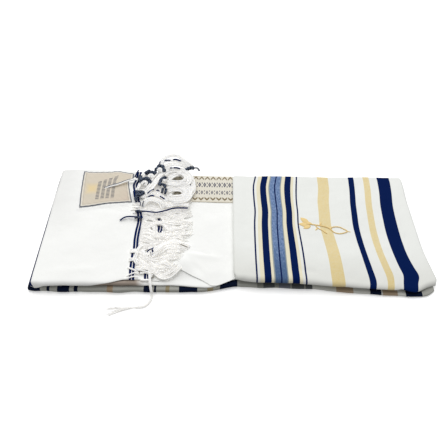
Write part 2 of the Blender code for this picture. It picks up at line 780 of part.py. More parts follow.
def loose_strings(root, strings):
    """Strings fanned out from the end of a wound cord, a little lower past the cloth's back edge."""
    threads = []
    for string in strings:
        step = string.length / STRING_SEGMENTS
        heading = math.radians(string.heading)
        x = root.x - 0.0010
        y = root.y
        route = [Vector((x, y, root.z))]
        for k in range(STRING_SEGMENTS):
            t = (k + 1) / STRING_SEGMENTS
            heading += math.radians(string.curl) / STRING_SEGMENTS
            x += step * math.cos(heading)
            y += step * math.sin(heading)
            z = mix(root.z, MIDDLE_TOP + string.ride, ease(0.0, 1.0, t))
            z -= STRING_DROP * ease(0.140, 0.165, y)
            route.append(Vector((x, y, z)))
        radii = [STRING_RADIUS] * len(route)
        threads.append(tube_mesh("loose_string", route, radii, STRING_SIDES))
    return threads


def build_upper_tzitzit():
    def ground(x, y):
        return end_top(x, y) + PATCH_WALL + SEAM_GAP if x < END_HEM else MIDDLE_TOP

    route = route_points(UPPER_CORD_ROUTE, ground)
    cord = wound_cord("upper_tzitzit", route, UPPER_CORD_KNOTS, UPPER_CORD_PLAIN, "navy_thread")
    return fuse(cord, loose_strings(route[-1], UPPER_STRINGS))


def build_under_tzitzit():
    route = route_points(UNDER_CORD_ROUTE, middle_top)
    cord = wound_cord("under_tzitzit", route, UNDER_CORD_KNOTS, 0, "navy_thread")
    return fuse(cord, loose_strings(route[-1], UNDER_STRINGS))


def build_front_string():
    """The string over the front edge, its end knot and the frayed tail that lies on the floor."""
    points = smooth_route([Vector(p) for p in FRONT_STRING_ROUTE], 27)
    last = len(points) - 1
    radii = [FRONT_KNOT_RADIUS if k >= last - 2 else FRONT_STRING_RADIUS for k in range(last + 1)]
    for k in range(last - 2, last + 1):
        points[k].z = max(points[k].z, FRONT_KNOT_RADIUS + FLOOR_GAP)
    string = add_object("front_string", tube_mesh("front_string", points, radii, 6), "white_thread")
    threads = []
    root = points[-1]
    for i in range(FRAY_STRINGS):
        side = i / (FRAY_STRINGS - 1) - 0.5
        heading = math.radians(FRAY_HEADING + FRAY_SPREAD * side)
        route = []
        for k in range(4):
            t = k / 3
            reach = FRAY_LENGTH * t * (1 - 0.25 * abs(side))
            x = root.x + reach * math.cos(heading) + 0.0008 * (1 - t)
            y = root.y + reach * math.sin(heading) + side * 0.0018 * (1 - t)
            route.append(Vector((x, y, mix(root.z, 0.0012 + 0.0016 * (i % 2), ease(0, 0.6, t)))))
        threads.append(tube_mesh("frayed_thread", route, [0.0005] * 4, 3))
    return fuse(string, threads)


def main():
    clear_scene()
    build_hidden_layers()
    build_end_stretch()
    build_under_end()
    build_middle_stretch()
    build_right_stretch()
    build_corner_patch()
    build_neckband()
    build_upper_fringe()
    build_under_fringe()
    build_upper_tzitzit()
    build_under_tzitzit()
    build_front_string()


main()
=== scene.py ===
import math
import random
from collections import namedtuple
from functools import partial, partialmethod

import bpy
import numpy as np
from mathutils import Matrix, Vector, noise


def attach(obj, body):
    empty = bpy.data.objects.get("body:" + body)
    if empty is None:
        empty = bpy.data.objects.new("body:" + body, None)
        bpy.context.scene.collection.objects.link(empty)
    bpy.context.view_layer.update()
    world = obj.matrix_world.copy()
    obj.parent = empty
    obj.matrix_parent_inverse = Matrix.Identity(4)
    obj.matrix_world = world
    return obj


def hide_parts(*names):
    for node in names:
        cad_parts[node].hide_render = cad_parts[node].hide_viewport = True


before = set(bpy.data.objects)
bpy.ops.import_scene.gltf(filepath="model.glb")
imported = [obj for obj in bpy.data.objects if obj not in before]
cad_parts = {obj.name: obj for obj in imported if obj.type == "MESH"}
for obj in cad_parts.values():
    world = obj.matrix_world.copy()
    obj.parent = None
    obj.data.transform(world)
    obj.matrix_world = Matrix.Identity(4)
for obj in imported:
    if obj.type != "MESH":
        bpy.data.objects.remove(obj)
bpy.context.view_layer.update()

# ---------------------------------------------------------------- sizes, in metres

CLOTH_WALL = 0.0009
PATCH_WALL = 0.0008
LAID_GAP = 0.0004  # between a cloth and what is laid on it
FLOOR_GAP = 0.0006
HALF_LENGTH = 0.340  # of the folded shawl
END_HEM = -0.166  # where the upper half of the end stops
RIGHT_FOLD_LEFT = -0.0005  # where the striped stretch turns under
LEFT_CORNER = 0.0016  # how far the corners of a side fold are rounded
RIGHT_CORNER = 0.0060
WRAP_STOP = math.radians(-70)  # how far a stretch goes round a side fold
TUCK_STOP = math.radians(-80)
THIN_LINE_X = 0.039  # where the stripe pattern of the striped stretch starts
UNDER_LEFT = -0.1830  # the under half's end
UNDER_FRONT = -0.1245
UNDER_BACK = 0.1330
NECKBAND = {"left": -0.0985, "right": 0.0010, "front": 0.0600, "back": 0.1322}
BAND_DEPTH = NECKBAND["back"] - NECKBAND["front"]
PATCH = {"back_left": (-0.2933, 0.1315), "back_right": (-0.1946, 0.1300),
         "front_left": (-0.2850, 0.0325), "front_right": (-0.1900, 0.0522)}
WEAVE_PITCH = 0.0011
FLAP_LIFT = 0.0014  # of the under half's end over the middle stretch

# ---------------------------------------------------------------- tables, in millimetres

NOT_LENGTHS = {"turn", "colour", "share", "line"}


def table(columns, *rows):
    """Rows with named columns, whose lengths are written in millimetres and kept in metres."""
    names = columns.split()
    kind = namedtuple("Entry", names)
    return tuple(kind(*(value if name in NOT_LENGTHS else value / 1000 for name, value in zip(names, row)))
                 for row in rows)


edges = partial(table, "x front back top")  # of a doubled stretch, and its height, along the length
humps = partial(table, "x y along across turn height")  # soft ridges and troughs
stripes = partial(table, "start end colour")  # in the weave, along the cloth


def places(*points):
    return [tuple(value / 1000 for value in point) for point in points]


Strings = namedtuple("Strings", "count spread radius points")


def strings(*rows):
    """Strings given one by one: how many side by side, over what width, their radius and their places."""
    return [Strings(count, spread / 1000, radius / 1000, places(*points))
            for count, spread, radius, *points in rows]


# The end with the corner patch
END_FLAP = edges(
    (-332, -140, 138, 19.6),
    (-300, -139.5, 138.5, 21.4),
    (-265, -138.5, 138.5, 21.3),
    (-235, -137.5, 138.2, 20.6),
    (-212, -135.2, 138, 19.6),
    (-196, -130.2, 137.6, 19),
    (-184, -126.8, 137.2, 18.4),
    (-168, -126.2, 136.8, 18.2),
    (-150, -126.2, 136.8, 18.2),
)
# The striped stretch on top of the right pile
STRIPED = edges(
    (-1, -122.5, 125.5, 23.6),
    (16, -124, 125.2, 23.8),
    (30, -127, 125, 24),
    (70, -127.8, 125.5, 23.5),
    (110, -129.2, 126.8, 22.6),
    (200, -133.8, 131, 18.6),
    (260, -136.5, 135.5, 16),
    (272, -136.2, 136, 15.5),
    (282, -134.4, 136.8, 15),
    (292, -138.2, 137.5, 14.5),
    (304, -139.2, 138.2, 13.9),
    (311, -135.2, 138.8, 13.4),
    (317, -130.2, 139, 13),
    (323, -125.8, 139.4, 12.8),
    (331, -122.4, 139.8, 12.6),
    (340, -120, 140, 12.2),
)
# The stretch between the piles, with an arch at its front edge
MIDDLE = edges(
    (-190, -119, 134.5, 13.8),
    (-150, -123.5, 134.5, 13.8),
    (-127, -125.2, 134.5, 13.8),
    (-112, -119.5, 134.5, 13.8),
    (-99, -106.2, 134.5, 13.8),
    (-87, -106.2, 134.5, 13.8),
    (-77.5, -110, 134.5, 13.8),
    (-67, -115.5, 134.5, 13.8),
    (-57, -120.8, 134.5, 13.2),
    (-47, -126.8, 134.5, 12.4),
    (-38, -132.5, 134.5, 12),
    (-26, -131.2, 134.3, 12),
    (-15, -126.2, 134, 12.8),
    (4, -117.5, 133.8, 13.8),
    (12, -116, 133.5, 13.8),
)
MIDDLE_TOP = MIDDLE[0].top
# The lowest layer, whose striped front fold shows all along the left half
LOWEST = edges(
    (-342, -139.2, 132, 8.6),
    (-330, -142, 133, 9.2),
    (-250, -142.8, 133.5, 9.4),
    (-186, -142.4, 133.5, 9.2),
    (-150, -141.4, 133, 8.6),
    (-60, -140, 133, 8.4),
    (-45.5, -137.8, 132, 8.4),
    (-26, -134.8, 131, 8.4),
    (-13, -131.8, 130, 8.4),
    (4, -127.2, 129, 8.4),
    (15.5, -127.8, 127, 8.6),
    (37, -129.2, 124.5, 8.6),
)
# The layer on it, as its front fold shows between the lowest layer and what lies above
SECOND = edges(
    (-330, -134, 131, 11.6),
    (-290, -133.5, 133, 12.2),
    (-250, -133.5, 132.5, 13.5),
    (-225, -134.5, 132.5, 16),
    (-195, -134.5, 132.5, 16.6),
    (-168, -134.2, 132, 16),
    (-150, -133.8, 132, 14),
    (-132, -132.6, 132, 12.2),
    (-110, -132.2, 132, 12),
    (-90, -132.8, 132, 12),
    (-60, -135, 132, 11.6),
    (-44, -135, 131, 11),
    (-30, -132, 130, 10.6),
    (-15, -123.6, 129, 10.6),
    (5, -117, 128, 11),
    (37, -119, 123.5, 10.8),
)
# How high the layers inside the pile reach
PILE = table(
    "x top",
    (-337.5, 11),
    (-322, 12.5),
    (-305, 13),
    (-250, 14),
    (-205, 12.5),
    (-186, 10.5),
    (-150, 9.8),
    (-60, 9.8),
    (-15, 9.6),
    (5, 9.2),
    (37, 6.6),
    (110, 6.6),
    (200, 6.3),
    (300, 5.6),
    (332, 4.6),
)
# Where the under half's hem lies
UNDER_HEM = table(
    "y hem",
    (-129, -140.8),
    (-110, -139.8),
    (-92, -138.5),
    (-60, -135.8),
    (-40, -131.5),
    (-18, -127.5),
    (4, -127.5),
    (30, -128.5),
    (90, -127),
    (133, -128),
)
# How far the patch's back edge waves, by the share of its length
PATCH_BACK = table(
    "share rise",
    (0, 0),
    (0.1, -2.6),
    (0.32, -2),
    (0.53, 0),
    (0.69, 3.4),
    (0.86, 0.8),
    (1, 0),
)
MIDDLE_HUMPS = humps(
    (-93, -88, 23, 25, 0, 7.8),
    (-98, -58, 20, 7.5, 18, 3),
    (-88, -53.5, 16, 2.8, 4, -1.2),
    (-60, -63, 30, 3.5, -8, -0.9),
    (-52, -70, 30, 8, -10, 1.6),
    (-30, 10, 35, 16, 25, 1),
    (-120, -92, 16, 7, -40, 1.6),
    (-64, -98, 16, 6, -50, -1.4),
    (-12, -85, 10, 30, 10, -1.2),
)
END_HUMPS = humps(
    (-290, -40, 30, 80, 10, 1),
    (-235, -85, 50, 25, -15, -0.9),
    (-215, 10, 30, 45, 30, 0.8),
    (-310, 70, 12, 60, 4, -0.7),
    (-262, -110, 40, 7, 6, 0.6),
    (-225, 30, 40, 5, -8, -0.6),
)
STRIPED_HUMPS = humps(
    (50, -95, 45, 20, 10, 1.2),
    (145, -45, 22, 60, 20, -1.4),
    (205, -80, 20, 45, 25, 1.4),
    (235, 60, 50, 35, -20, 1),
    (300, -95, 20, 45, 30, 1.3),
    (170, 90, 10, 50, -6, 0.7),
    (118, -105, 30, 6, -8, -0.9),
    (268, -60, 8, 55, 24, -0.8),
    (26, 40, 7, 70, -3, -0.7),
)

# How far the stripes stray along the length, by their distance across the cloth
SWAY = table(
    "y near middle far end",
    (-140, 1, 3.8, 2.2, 0.2),
    (-124, 1, 3.8, 5.4, 2.6),
    (-112, 0.8, 4, 5.2, 6.4),
    (-104, 0.7, 4.2, 4.2, 7),
    (-90, 0.5, 4.6, 2.4, 4),
    (-60, 0.7, 3.7, -1.3, -0.6),
    (-30, 1, 0.7, -3.4, -2.2),
    (0, 1.8, -2.5, -3.3, -2.5),
    (30, 3.8, -0.8, -1.4, -1.5),
    (60, 3, 1.2, 0.8, 0.5),
    (95, 3.3, 6.7, 5.1, 5.5),
    (125, 8.5, 8.1, 8, 8.1),
)
SWAY_PLACES = (("near", 0.08), ("middle", 0.17), ("far", 0.25), ("end", 0.30))

TONES = {
    "white": (0.930, 0.935, 0.915),
    # Painted shade for the end's cloth far from its hem.
    "dull_white": (0.835, 0.837, 0.820),
    "cool_white": (0.825, 0.838, 0.808),
    "navy": (0.0002, 0.0095, 0.0720),
    "light_blue": (0.100, 0.172, 0.330),
    "pale_blue": (0.235, 0.320, 0.520),
    "grey_green": (0.280, 0.320, 0.330),
    "thread": (0.955, 0.940, 0.905),
    "string": (0.925, 0.915, 0.890),
    # Painted shade: the olive of strings put where the loops and the fringe cast shade.
    "olive": (0.200, 0.180, 0.135),
    # Painted shade: navy stripes darkened where they lie in shade.
    "slate": (0.085, 0.092, 0.095),
    "ink": (0.004, 0.008, 0.026),
    "cream": (0.790, 0.740, 0.560),
    "gold": (0.750, 0.590, 0.260),
    "beige": (0.660, 0.600, 0.490),
    "grey_blue": (0.150, 0.160, 0.190),
    # Painted shade: the next nine tones stand for white cloth, gold and light blue lying in shade.
    "band_grey": (0.370, 0.372, 0.340),
    "under_grey": (0.250, 0.255, 0.230),
    "soft_grey": (0.540, 0.540, 0.500),
    "tan": (0.340, 0.260, 0.180),
    "shade_brown": (0.340, 0.285, 0.240),
    "brown": (0.290, 0.245, 0.155),
    "worn": (0.33, 0.30, 0.22),
    "deep_blue": (0.035, 0.070, 0.135),
    "deep_gold": (0.46, 0.33, 0.08),
    "bluish_white": (0.52, 0.62, 0.80),
    "light_beige": (0.70, 0.62, 0.52),
    "rose_beige": (0.56, 0.42, 0.33),
    "patch_margin": (0.76, 0.72, 0.63),
    "bead_grey": (0.30, 0.28, 0.26),
    "patch_gold": (0.84, 0.64, 0.28),
    "dash_grey": (0.11, 0.115, 0.14),
    "band_shade": (0.70, 0.66, 0.56),
    "band_light": (0.80, 0.77, 0.68),
    "zigzag_brown": (0.20, 0.15, 0.08),
    "band_navy": (0.030, 0.034, 0.085),
    "band_border": (0.62, 0.55, 0.42),
    "gold_shade": (0.74, 0.52, 0.20),
    "gold_light": (0.90, 0.72, 0.38),
    # The colour of the light painted into the white threads by emission.
    "glow": (1.0, 0.985, 0.960),
    "floor": (0.97, 0.97, 0.97),
}
COLOURS = {name: (*tone, 1) for name, tone in TONES.items()}
STRIPED_WEAVE = stripes(
    (-3.2, -0.3, "navy"),
    (4, 11, "cream"),
    (11, 22.8, "navy"),
    (22.8, 27.6, "cream"),
    (27.2, 51.2, "grey_green"),
    (29.4, 49, "light_blue"),
    (38.2, 40.6, "navy"),
    (50.8, 57.2, "cream"),
    (57.2, 69, "navy"),
    (69, 74, "cream"),
    (78.4, 81.2, "navy"),
    (121.3, 143.3, "gold"),
    (184.2, 195.5, "navy"),
    (214.5, 226.8, "gold"),
    (243.3, 268, "navy"),
)
END_WEAVE = stripes(
    (1.4, 5.5, "navy"),
    (6.6, 10.7, "navy"),
    (171.6, 183, "navy"),
)
# The lowest layer's front fold, in painted shade: its white is painted grey, its navy stripes near-black and
# its gold stripes dull ochre.
LOW_WEAVE = stripes(
    (-345, -321, "ink"),
    (-310.2, -305.5, "ink"),
    (-292.8, -272.9, "ink"),
    (-265.5, -259.2, "ink"),
    (-211, -201, "tan"),
    (-150.4, -139.6, "ink"),
    (-133, -129.5, "ink"),
    (-114, -107.4, "brown"),
    (-91.6, -61, "ink"),
    (-44.4, -34.5, "brown"),
    (-23.5, 6, "ink"),
)
# The right pile's lower front fold, in painted shade: white painted grey, lighter towards the right end; navy
# stripes near-black or dark grey, the light blue grey-blue and the gold dull ochre.
LOWER_WEAVE = stripes(
    (125, 350, "soft_grey"),
    (50, 69, "slate"),
    (76, 95, "grey_blue"),
    (98, 118.5, "slate"),
    (121.3, 132.5, "slate"),
    (172.4, 200.9, "tan"),
    (229, 247.5, "ink"),
    (250, 275, "tan"),
    (288.5, 317, "ink"),
    (318, 350, "band_grey"),
)

# ---------------------------------------------------------------- reading the tables


def mix(a, b, t):
    return a + (b - a) * t


def ease(low, high, value):
    t = min(max((value - low) / (high - low), 0), 1)
    return t * t * (3 - 2 * t)


def read(rows, key, column):
    """A column of a table, read between its rows on a smooth curve through them."""
    keys = [row[0] for row in rows]
    values = [getattr(row, column) for row in rows]
    if key <= keys[0]:
        return values[0]
    if key >= keys[-1]:
        return values[-1]
    k = max(i for i in range(len(keys) - 1) if keys[i] <= key)

    def slope(i):
        low = max(i - 1, 0)
        high = min(i + 1, len(keys) - 1)
        return (values[high] - values[low]) / (keys[high] - keys[low])

    span = keys[k + 1] - keys[k]
    t = (key - keys[k]) / span
    start = (1 + 2 * t) * (1 - t) ** 2 * values[k] + t * (1 - t) ** 2 * span * slope(k)
    end = t * t * (3 - 2 * t) * values[k + 1] + t * t * (t - 1) * span * slope(k + 1)
    return start + end


def raised(rows, x, y):
    total = 0
    for row in rows:
        turn = math.radians(row.turn)
        dx = x - row.x
        dy = y - row.y
        u = (dx * math.cos(turn) + dy * math.sin(turn)) / row.along
        v = (dy * math.cos(turn) - dx * math.sin(turn)) / row.across
        total += row.height * math.exp(-u * u - v * v)
    return total


def uneven(x, y, reach, height, seed):
    return height * noise.noise(Vector((x / reach, y / reach, seed)))


def rumpled(x, y, seed):
    """The soft unevenness of cloth that lies loose."""
    return uneven(x, y, 0.050, 0.0009, seed) + uneven(x, y, 0.019, 0.00035, seed + 7)


# How far the hem's lines stray, by their distance across the cloth: the corner is drawn in
END_STRAY = table(
    "y hem fold",
    (-130, 1.8, -2.4),
    (-110, -0.2, -1.2),
    (-75, -0.6, -0.8),
    (-60, 0.6, -0.5),
    (-40, -0.4, -0.4),
    (-20, 0, -0.2),
    (6, 1.4, 0),
    (30, -2.5, 1),
    (50, -7, 6),
    (77, -12.8, 10),
    (99, -17.2, 12),
    (113, -14.5, 12),
    (132, -12.8, 12),
)


def end_stray(x, y):
    """The hem's lines, and the one at the left fold, bend away towards the tied corner."""
    return mix(read(END_STRAY, y, "fold"), -read(END_STRAY, y, "hem"), ease(-0.26, -0.20, x))


def middle_top(x, y):
    near_front = 1 - ease(-0.132, -0.100, y)
    level = mix(MIDDLE_TOP, read(MIDDLE, x, "top"), near_front)
    return level + raised(MIDDLE_HUMPS, x, y)


def patch_backing(x, y):
    """The doubled cloth behind the patch stands a little above the rest of the flap."""
    front = mix(PATCH["front_left"][1], PATCH["front_right"][1], (x + 0.285) / 0.095) - 0.0062
    sides = ease(-0.2905, -0.2875, x) * (1 - ease(-0.199, -0.194, x))
    return 0.0011 * sides * ease(front - 0.0012, front + 0.0012, y)


def end_top(x, y):
    flat_zone = ease(-0.215, -0.190, x)
    lift = raised(END_HUMPS, x, y) * (1 - flat_zone)
    return read(END_FLAP, x, "top") + lift + patch_backing(x, y)


def end_surface(x, y):
    return end_top(x, y) + rumpled(x, y, 2) * (1 - ease(-0.19, -0.17, x))


def middle_surface(x, y):
    return middle_top(x, y) + rumpled(x, y, 8) * 0.5


def striped_top(x, y):
    calm_fold = ease(0.0, 0.03, x) * (1 - ease(0.30, 0.335, x))
    return read(STRIPED, x, "top") + raised(STRIPED_HUMPS, x, y) * calm_fold


def under_hem_x(y):
    return read(UNDER_HEM, y, "hem")


def sway(x, y):
    """How far a stripe strays at a place on the striped stretch."""
    amounts = [read(SWAY, y, name) for name, _ in SWAY_PLACES]
    return float(np.interp(x, [place for _, place in SWAY_PLACES], amounts))


# ---------------------------------------------------------------- modelling helpers


def pick_only(*things):
    bpy.ops.object.select_all(action="DESELECT")
    for thing in things:
        thing.select_set(True)
    bpy.context.view_layer.objects.active = things[-1]


def grid(name, along, across):
    """A grid primitive of this many cells, on which a form is laid."""
    bpy.ops.object.select_all(action="DESELECT")
    bpy.ops.mesh.primitive_grid_add(x_subdivisions=along, y_subdivisions=across, size=1)
    sheet = bpy.context.object
    sheet.name = name
    sheet.data.name = name
    return sheet


def lay_on_form(sheet, along, across, form):
    """Move each point of a grid to form(i, j), which gives the place and the cloth's own (u, v)."""
    points = sheet.data.vertices
    uv = []
    for point in points:
        i = round((point.co.x + 0.5) * along)
        j = round((point.co.y + 0.5) * across)
        place, cloth = form(i, j)
        point.co = place
        uv.append(cloth)
    layer = sheet.data.uv_layers[0]
    corner = np.empty(len(sheet.data.loops), dtype=np.int32)
    sheet.data.loops.foreach_get("vertex_index", corner)
    layer.data.foreach_set("uv", np.array(uv, dtype=np.float32)[corner].ravel())


def give_wall(sheet, wall, finish):
    """Thickness inwards from the outer face, then smooth shading and the finish."""
    solid = sheet.modifiers.new("wall", "SOLIDIFY")
    solid.thickness = wall
    solid.offset = -1
    pick_only(sheet)
    bpy.ops.object.modifier_apply(modifier=solid.name)
    bpy.ops.object.shade_smooth_by_angle(angle=math.radians(50))
    sheet.data.materials.clear()
    sheet.data.materials.append(finish)
    return sheet


def formed_sheet(name, along, across, form, wall, finish):
    sheet = grid(name, along, across)
    lay_on_form(sheet, along, across, form)
    return give_wall(sheet, wall, finish)


def on_body(piece, slot, *nodes):
    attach(piece, "root")
    if nodes:
        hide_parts(*nodes)
    return piece


def spaced(start, stop, step):
    count = max(1, round(abs(stop - start) / step))
    return [mix(start, stop, i / count) for i in range(count + 1)]


# ---------------------------------------------------------------- finishes


class Wire:
    """One value of a material's nodes, with arithmetic."""

    def __init__(self, finish, socket):
        self.finish = finish
        self.socket = socket

    def maths(self, operation, *others, clamp=False):
        values = dict(enumerate((self, *others)))
        return self.finish.node("ShaderNodeMath", {"operation": operation, "use_clamp": clamp}, values)

    __add__ = partialmethod(maths, "ADD")
    __sub__ = partialmethod(maths, "SUBTRACT")
    __mul__ = partialmethod(maths, "MULTIPLY")
    __truediv__ = partialmethod(maths, "DIVIDE")
    __radd__ = __add__
    __rmul__ = __mul__
    size = partialmethod(maths, "ABSOLUTE")
    sine = partialmethod(maths, "SINE")
    part = partialmethod(maths, "FRACT")
    higher_of = partialmethod(maths, "MAXIMUM")
    clamped = partialmethod(maths, "ADD", 0.0, clamp=True)

    def __rsub__(self, other):
        return self.finish.node("ShaderNodeMath", {"operation": "SUBTRACT"}, {0: other, 1: self})


class Finish:
    """A material whose nodes are written as expressions."""

    def __init__(self, name, colour, roughness):
        self.material = bpy.data.materials.new(name)
        self.material.use_nodes = True
        self.tree = self.material.node_tree
        self.shader = self.tree.nodes["Principled BSDF"]
        self.colour = COLOURS[colour]
        self.feed("Base Color", self.colour)
        self.feed("Roughness", roughness)
        self.feed("Specular IOR Level", 0.05)

    def node(self, kind, settings=None, values=None, output=0):
        made = self.tree.nodes.new(kind)
        for name, value in (settings or {}).items():
            setattr(made, name, value)
        for name, value in (values or {}).items():
            if isinstance(value, Wire):
                self.tree.links.new(value.socket, made.inputs[name])
            else:
                made.inputs[name].default_value = value
        return Wire(self, made.outputs[output])

    def cloth_place(self):
        """The place on the cloth itself, in metres: along it and across it."""
        place = self.node("ShaderNodeUVMap", {"uv_map": "UVMap"})
        parts = self.node("ShaderNodeSeparateXYZ", values={0: place})
        return place, parts, Wire(self, parts.socket.node.outputs[1])

    def blend(self, share, under, over):
        under, over = (COLOURS[tone] if isinstance(tone, str) else tone for tone in (under, over))
        return self.node("ShaderNodeMix", {"data_type": "RGBA"}, {0: share, 6: under, 7: over}, output=2)

    def paint(self, share, over):
        self.colour = self.blend(share, self.colour, over)

    def speckle(self, place, scale, detail=2.0):
        return self.node("ShaderNodeTexNoise", values={"Vector": place, "Scale": scale, "Detail": detail})

    def feed(self, name, value):
        if isinstance(value, Wire):
            self.tree.links.new(value.socket, self.shader.inputs[name])
        else:
            self.shader.inputs[name].default_value = value

    def bump(self, height, distance, strength=1.0):
        made = self.node("ShaderNodeBump",
                         values={"Height": height, "Distance": distance, "Strength": strength})
        self.feed("Normal", made)


def band(value, start, end, soft=0.0004):
    """1 between two places, 0 elsewhere, with a soft edge."""
    centre = (start + end) / 2
    half = (end - start) / 2
    return ((half - (value - centre).size()) / soft + 0.5).clamped()


def woven(name, stripe_rows, ground="white", shade_zone=None, dull_from=None, worn_front=0):
    """Plain weave with stripes woven in; painted shade may tint a zone brownish, grey the cloth away from the
    hem and towards the back, or darken it towards the front.
    """
    finish = Finish(name, ground, 0.85)
    place, along, across = finish.cloth_place()
    edge = along + (finish.speckle(place, 900.0) - 0.5) * 0.0006
    mottle = finish.speckle(place, 260.0, 4.0)
    stretched = finish.node("ShaderNodeVectorMath", {"operation": "MULTIPLY"},
                            {0: place, 1: (1400.0, 160.0, 1.0)})
    streaks = finish.speckle(stretched, 1.0, 3.0)
    if shade_zone:
        start, end, depth = shade_zone
        zone = band(along, start, end, 0.016) * ((depth - across) / 0.006).clamped()
        finish.paint(zone, "shade_brown")
    # Painted shade: the cloth greys away from the hem and towards the back.
    if dull_from:
        start, depth, soft = dull_from
        zone = ((along - start) / soft).clamped() * ((across - depth) / (2 * soft)).clamped()
        finish.paint(zone, "dull_white")
    # Painted shade: the ground, the gold and the light blue darken towards the front edge.
    front = ((worn_front - across) / 0.060).clamped()
    if worn_front:
        finish.paint(front * 0.15, "worn")
    for stripe in stripe_rows:
        shade = stripe.colour
        if shade == "light_blue":
            # Painted shade: the light blue turns darker towards the front edge.
            worn = ((0.085 - across) / 0.080).clamped()
            share = ((streaks - 0.5) * 4.6 + (mottle - 0.5) * 2.4 + 0.42 - worn * 0.70).clamped()
            shade = finish.blend(front * 0.42, finish.blend(share, shade, "pale_blue"), "deep_blue")
        elif shade == "gold":
            share = ((mottle - 0.5) * 0.9 + 0.35).clamped()
            shade = finish.blend(front * 0.24, finish.blend(share, shade, "cream"), "deep_gold")
        finish.paint(band(edge, stripe.start, stripe.end), shade)
    finish.feed("Base Color", finish.colour)
    warp, weft = ((way * (2 * math.pi / WEAVE_PITCH)).sine() for way in (along, across))
    soft_creases = finish.speckle(place, 38.0, 3.0)
    finish.bump(warp * weft * 0.10 + mottle * 0.25 + soft_creases * 3.0, 0.0006, 0.5)
    return finish.material


def twisted(name, colour, glow=0.0):
    """Soft twisted thread: light passes into it, its plies wind round it, and a weak emission paints light
    into it.
    """
    finish = Finish(name, colour, 0.9)
    finish.feed("Subsurface Weight", 0.5)
    finish.feed("Subsurface Radius", (1.0, 0.95, 0.85))
    finish.feed("Subsurface Scale", 0.004)
    finish.feed("Emission Color", COLOURS["glow"])
    finish.feed("Emission Strength", glow)
    place, around, along = finish.cloth_place()
    ply = ((around * 2.0 + along / 0.0030) * (2 * math.pi)).sine()
    finish.bump(ply, 0.0003, 0.2)
    return finish.material


def wound(name):
    """Navy thread wound close round a cord, with the white cord just showing between turns."""
    finish = Finish(name, "navy", 0.8)
    place, around, along = finish.cloth_place()
    turn = ((along / 0.0018 + around) * (2 * math.pi)).sine()
    patch = finish.speckle(place, 170.0)
    gap = ((turn + 0.2) * 3.0).clamped() * ((patch - 0.50) * 9.0).clamped()
    finish.feed("Base Color", finish.blend(gap, "ink", "bluish_white"))
    finish.bump(turn, 0.0004, 0.8)
    return finish.material


# ---------------------------------------------------------------- folded layers

Column = namedtuple("Column", "x turn side u")
Row = namedtuple("Row", "part share")
Fold = namedtuple("Fold", "edges top lip reach gap seed corner low",
                  defaults=(LEFT_CORNER, lambda x, y: FLOOR_GAP))


def fold_rows(lower, lip, upper):
    """Rows from the lower ply's back edge, round the front fold, to the upper ply's back edge."""
    rows = [Row("lower", 1 - i / lower) for i in range(lower)]
    rows += [Row("lip", mix(-math.pi / 2, math.pi / 2, i / lip)) for i in range(lip)]
    rows += [Row("upper", i / upper) for i in range(upper + 1)]
    return rows


def flat_columns(start, stop, step, u_start=0.0, u_side=1):
    return [Column(x, 0, 0, u_start + u_side * (x - start)) for x in spaced(start, stop, step)]


def wrap_columns(x, side, radius, steps, stop, u_start, u_side=1):
    columns = []
    for i in range(steps):
        turn = mix(math.pi / 2, stop, (i + 1) / steps)
        columns.append(Column(x, turn, side, u_start + u_side * radius * (math.pi / 2 - turn)))
    return columns


def at(size, x):
    """A size that is the same everywhere, or changes along the length."""
    return size(x) if callable(size) else size


def folded_point(fold, column, row):
    """A point of the outer face of a doubled stretch, and its place on the cloth."""
    x = column.x
    front = read(fold.edges, x, "front") + uneven(x, 0.3, 0.030, 0.0014, fold.seed)
    back = read(fold.edges, x, "back") + uneven(x, 0.7, 0.045, 0.0016, fold.seed + 3)
    if column.side:
        corner = fold.corner * math.cos(column.turn)
        front += corner
        back -= corner
    lip = at(fold.lip, x) * (1 + uneven(x, 0.1, 0.025, 0.14, fold.seed + 5))
    reach = at(fold.reach, x)
    rise = 1.0
    if row.part == "upper":
        y = mix(front + reach, back, row.share)
        depth = 0
        across = y - front
    elif row.part == "lip":
        y = front + reach * (1 - math.cos(row.share))
        depth = lip / 2 * (1 - math.sin(row.share))
        rise = math.sin(row.share)
        across = reach * row.share / (math.pi / 2)
    else:
        y = mix(front + reach, back + uneven(x, 0.9, 0.030, 0.0050, fold.seed + 9), row.share)
        depth = mix(lip, at(fold.gap, x), ease(0, 0.10, row.share))
        rise = -1.0
        across = front - y
    high = fold.top(x, y)
    z = max(high - depth, FLOOR_GAP)
    u = column.u
    if column.side:
        low = fold.low(x, y)
        middle = (high + low) / 2
        radius = (high - low) / 2
        if rise < 0:
            rise *= mix(0.06, 1.0, ease(math.radians(35), math.pi / 2, column.turn))
        x += column.side * radius * math.cos(column.turn) * rise
        z = middle + radius * math.sin(column.turn) * rise
    return Vector((x, y, z)), (u, across)


def folded_sheet(name, columns, rows, fold, finish, stray=None, skew=None):
    """A doubled stretch of cloth, folded along its front edge."""
    def form(i, j):
        place, cloth = folded_point(fold, columns[i], rows[j])
        if stray:
            cloth = (cloth[0] - stray(place.x, place.y), cloth[1])
        if skew:
            place.x += skew(place.x, place.y)
        return place, cloth

    return formed_sheet(name, len(columns) - 1, len(rows) - 1, form, CLOTH_WALL, finish)


def behind(rows, front, back):
    """The edges of a layer that lies inside another one."""
    return tuple(row._replace(front=row.front + front, back=row.back - back) for row in rows)


def pile_side(x):
    return read(PILE, x, "top")


white_weave = woven("white_weave", ())
end_weave = woven("end_weave", END_WEAVE, dull_from=(0.095, 0.090, 0.050))
striped_weave = woven("striped_weave", STRIPED_WEAVE, "cool_white", worn_front=0.075)
low_weave = woven("low_weave", LOW_WEAVE, "band_grey")
lower_weave = woven("lower_weave", LOWER_WEAVE, "under_grey")
shaded_weave = woven("shaded_weave", (), "white", (0.068, 0.168, 0.014))

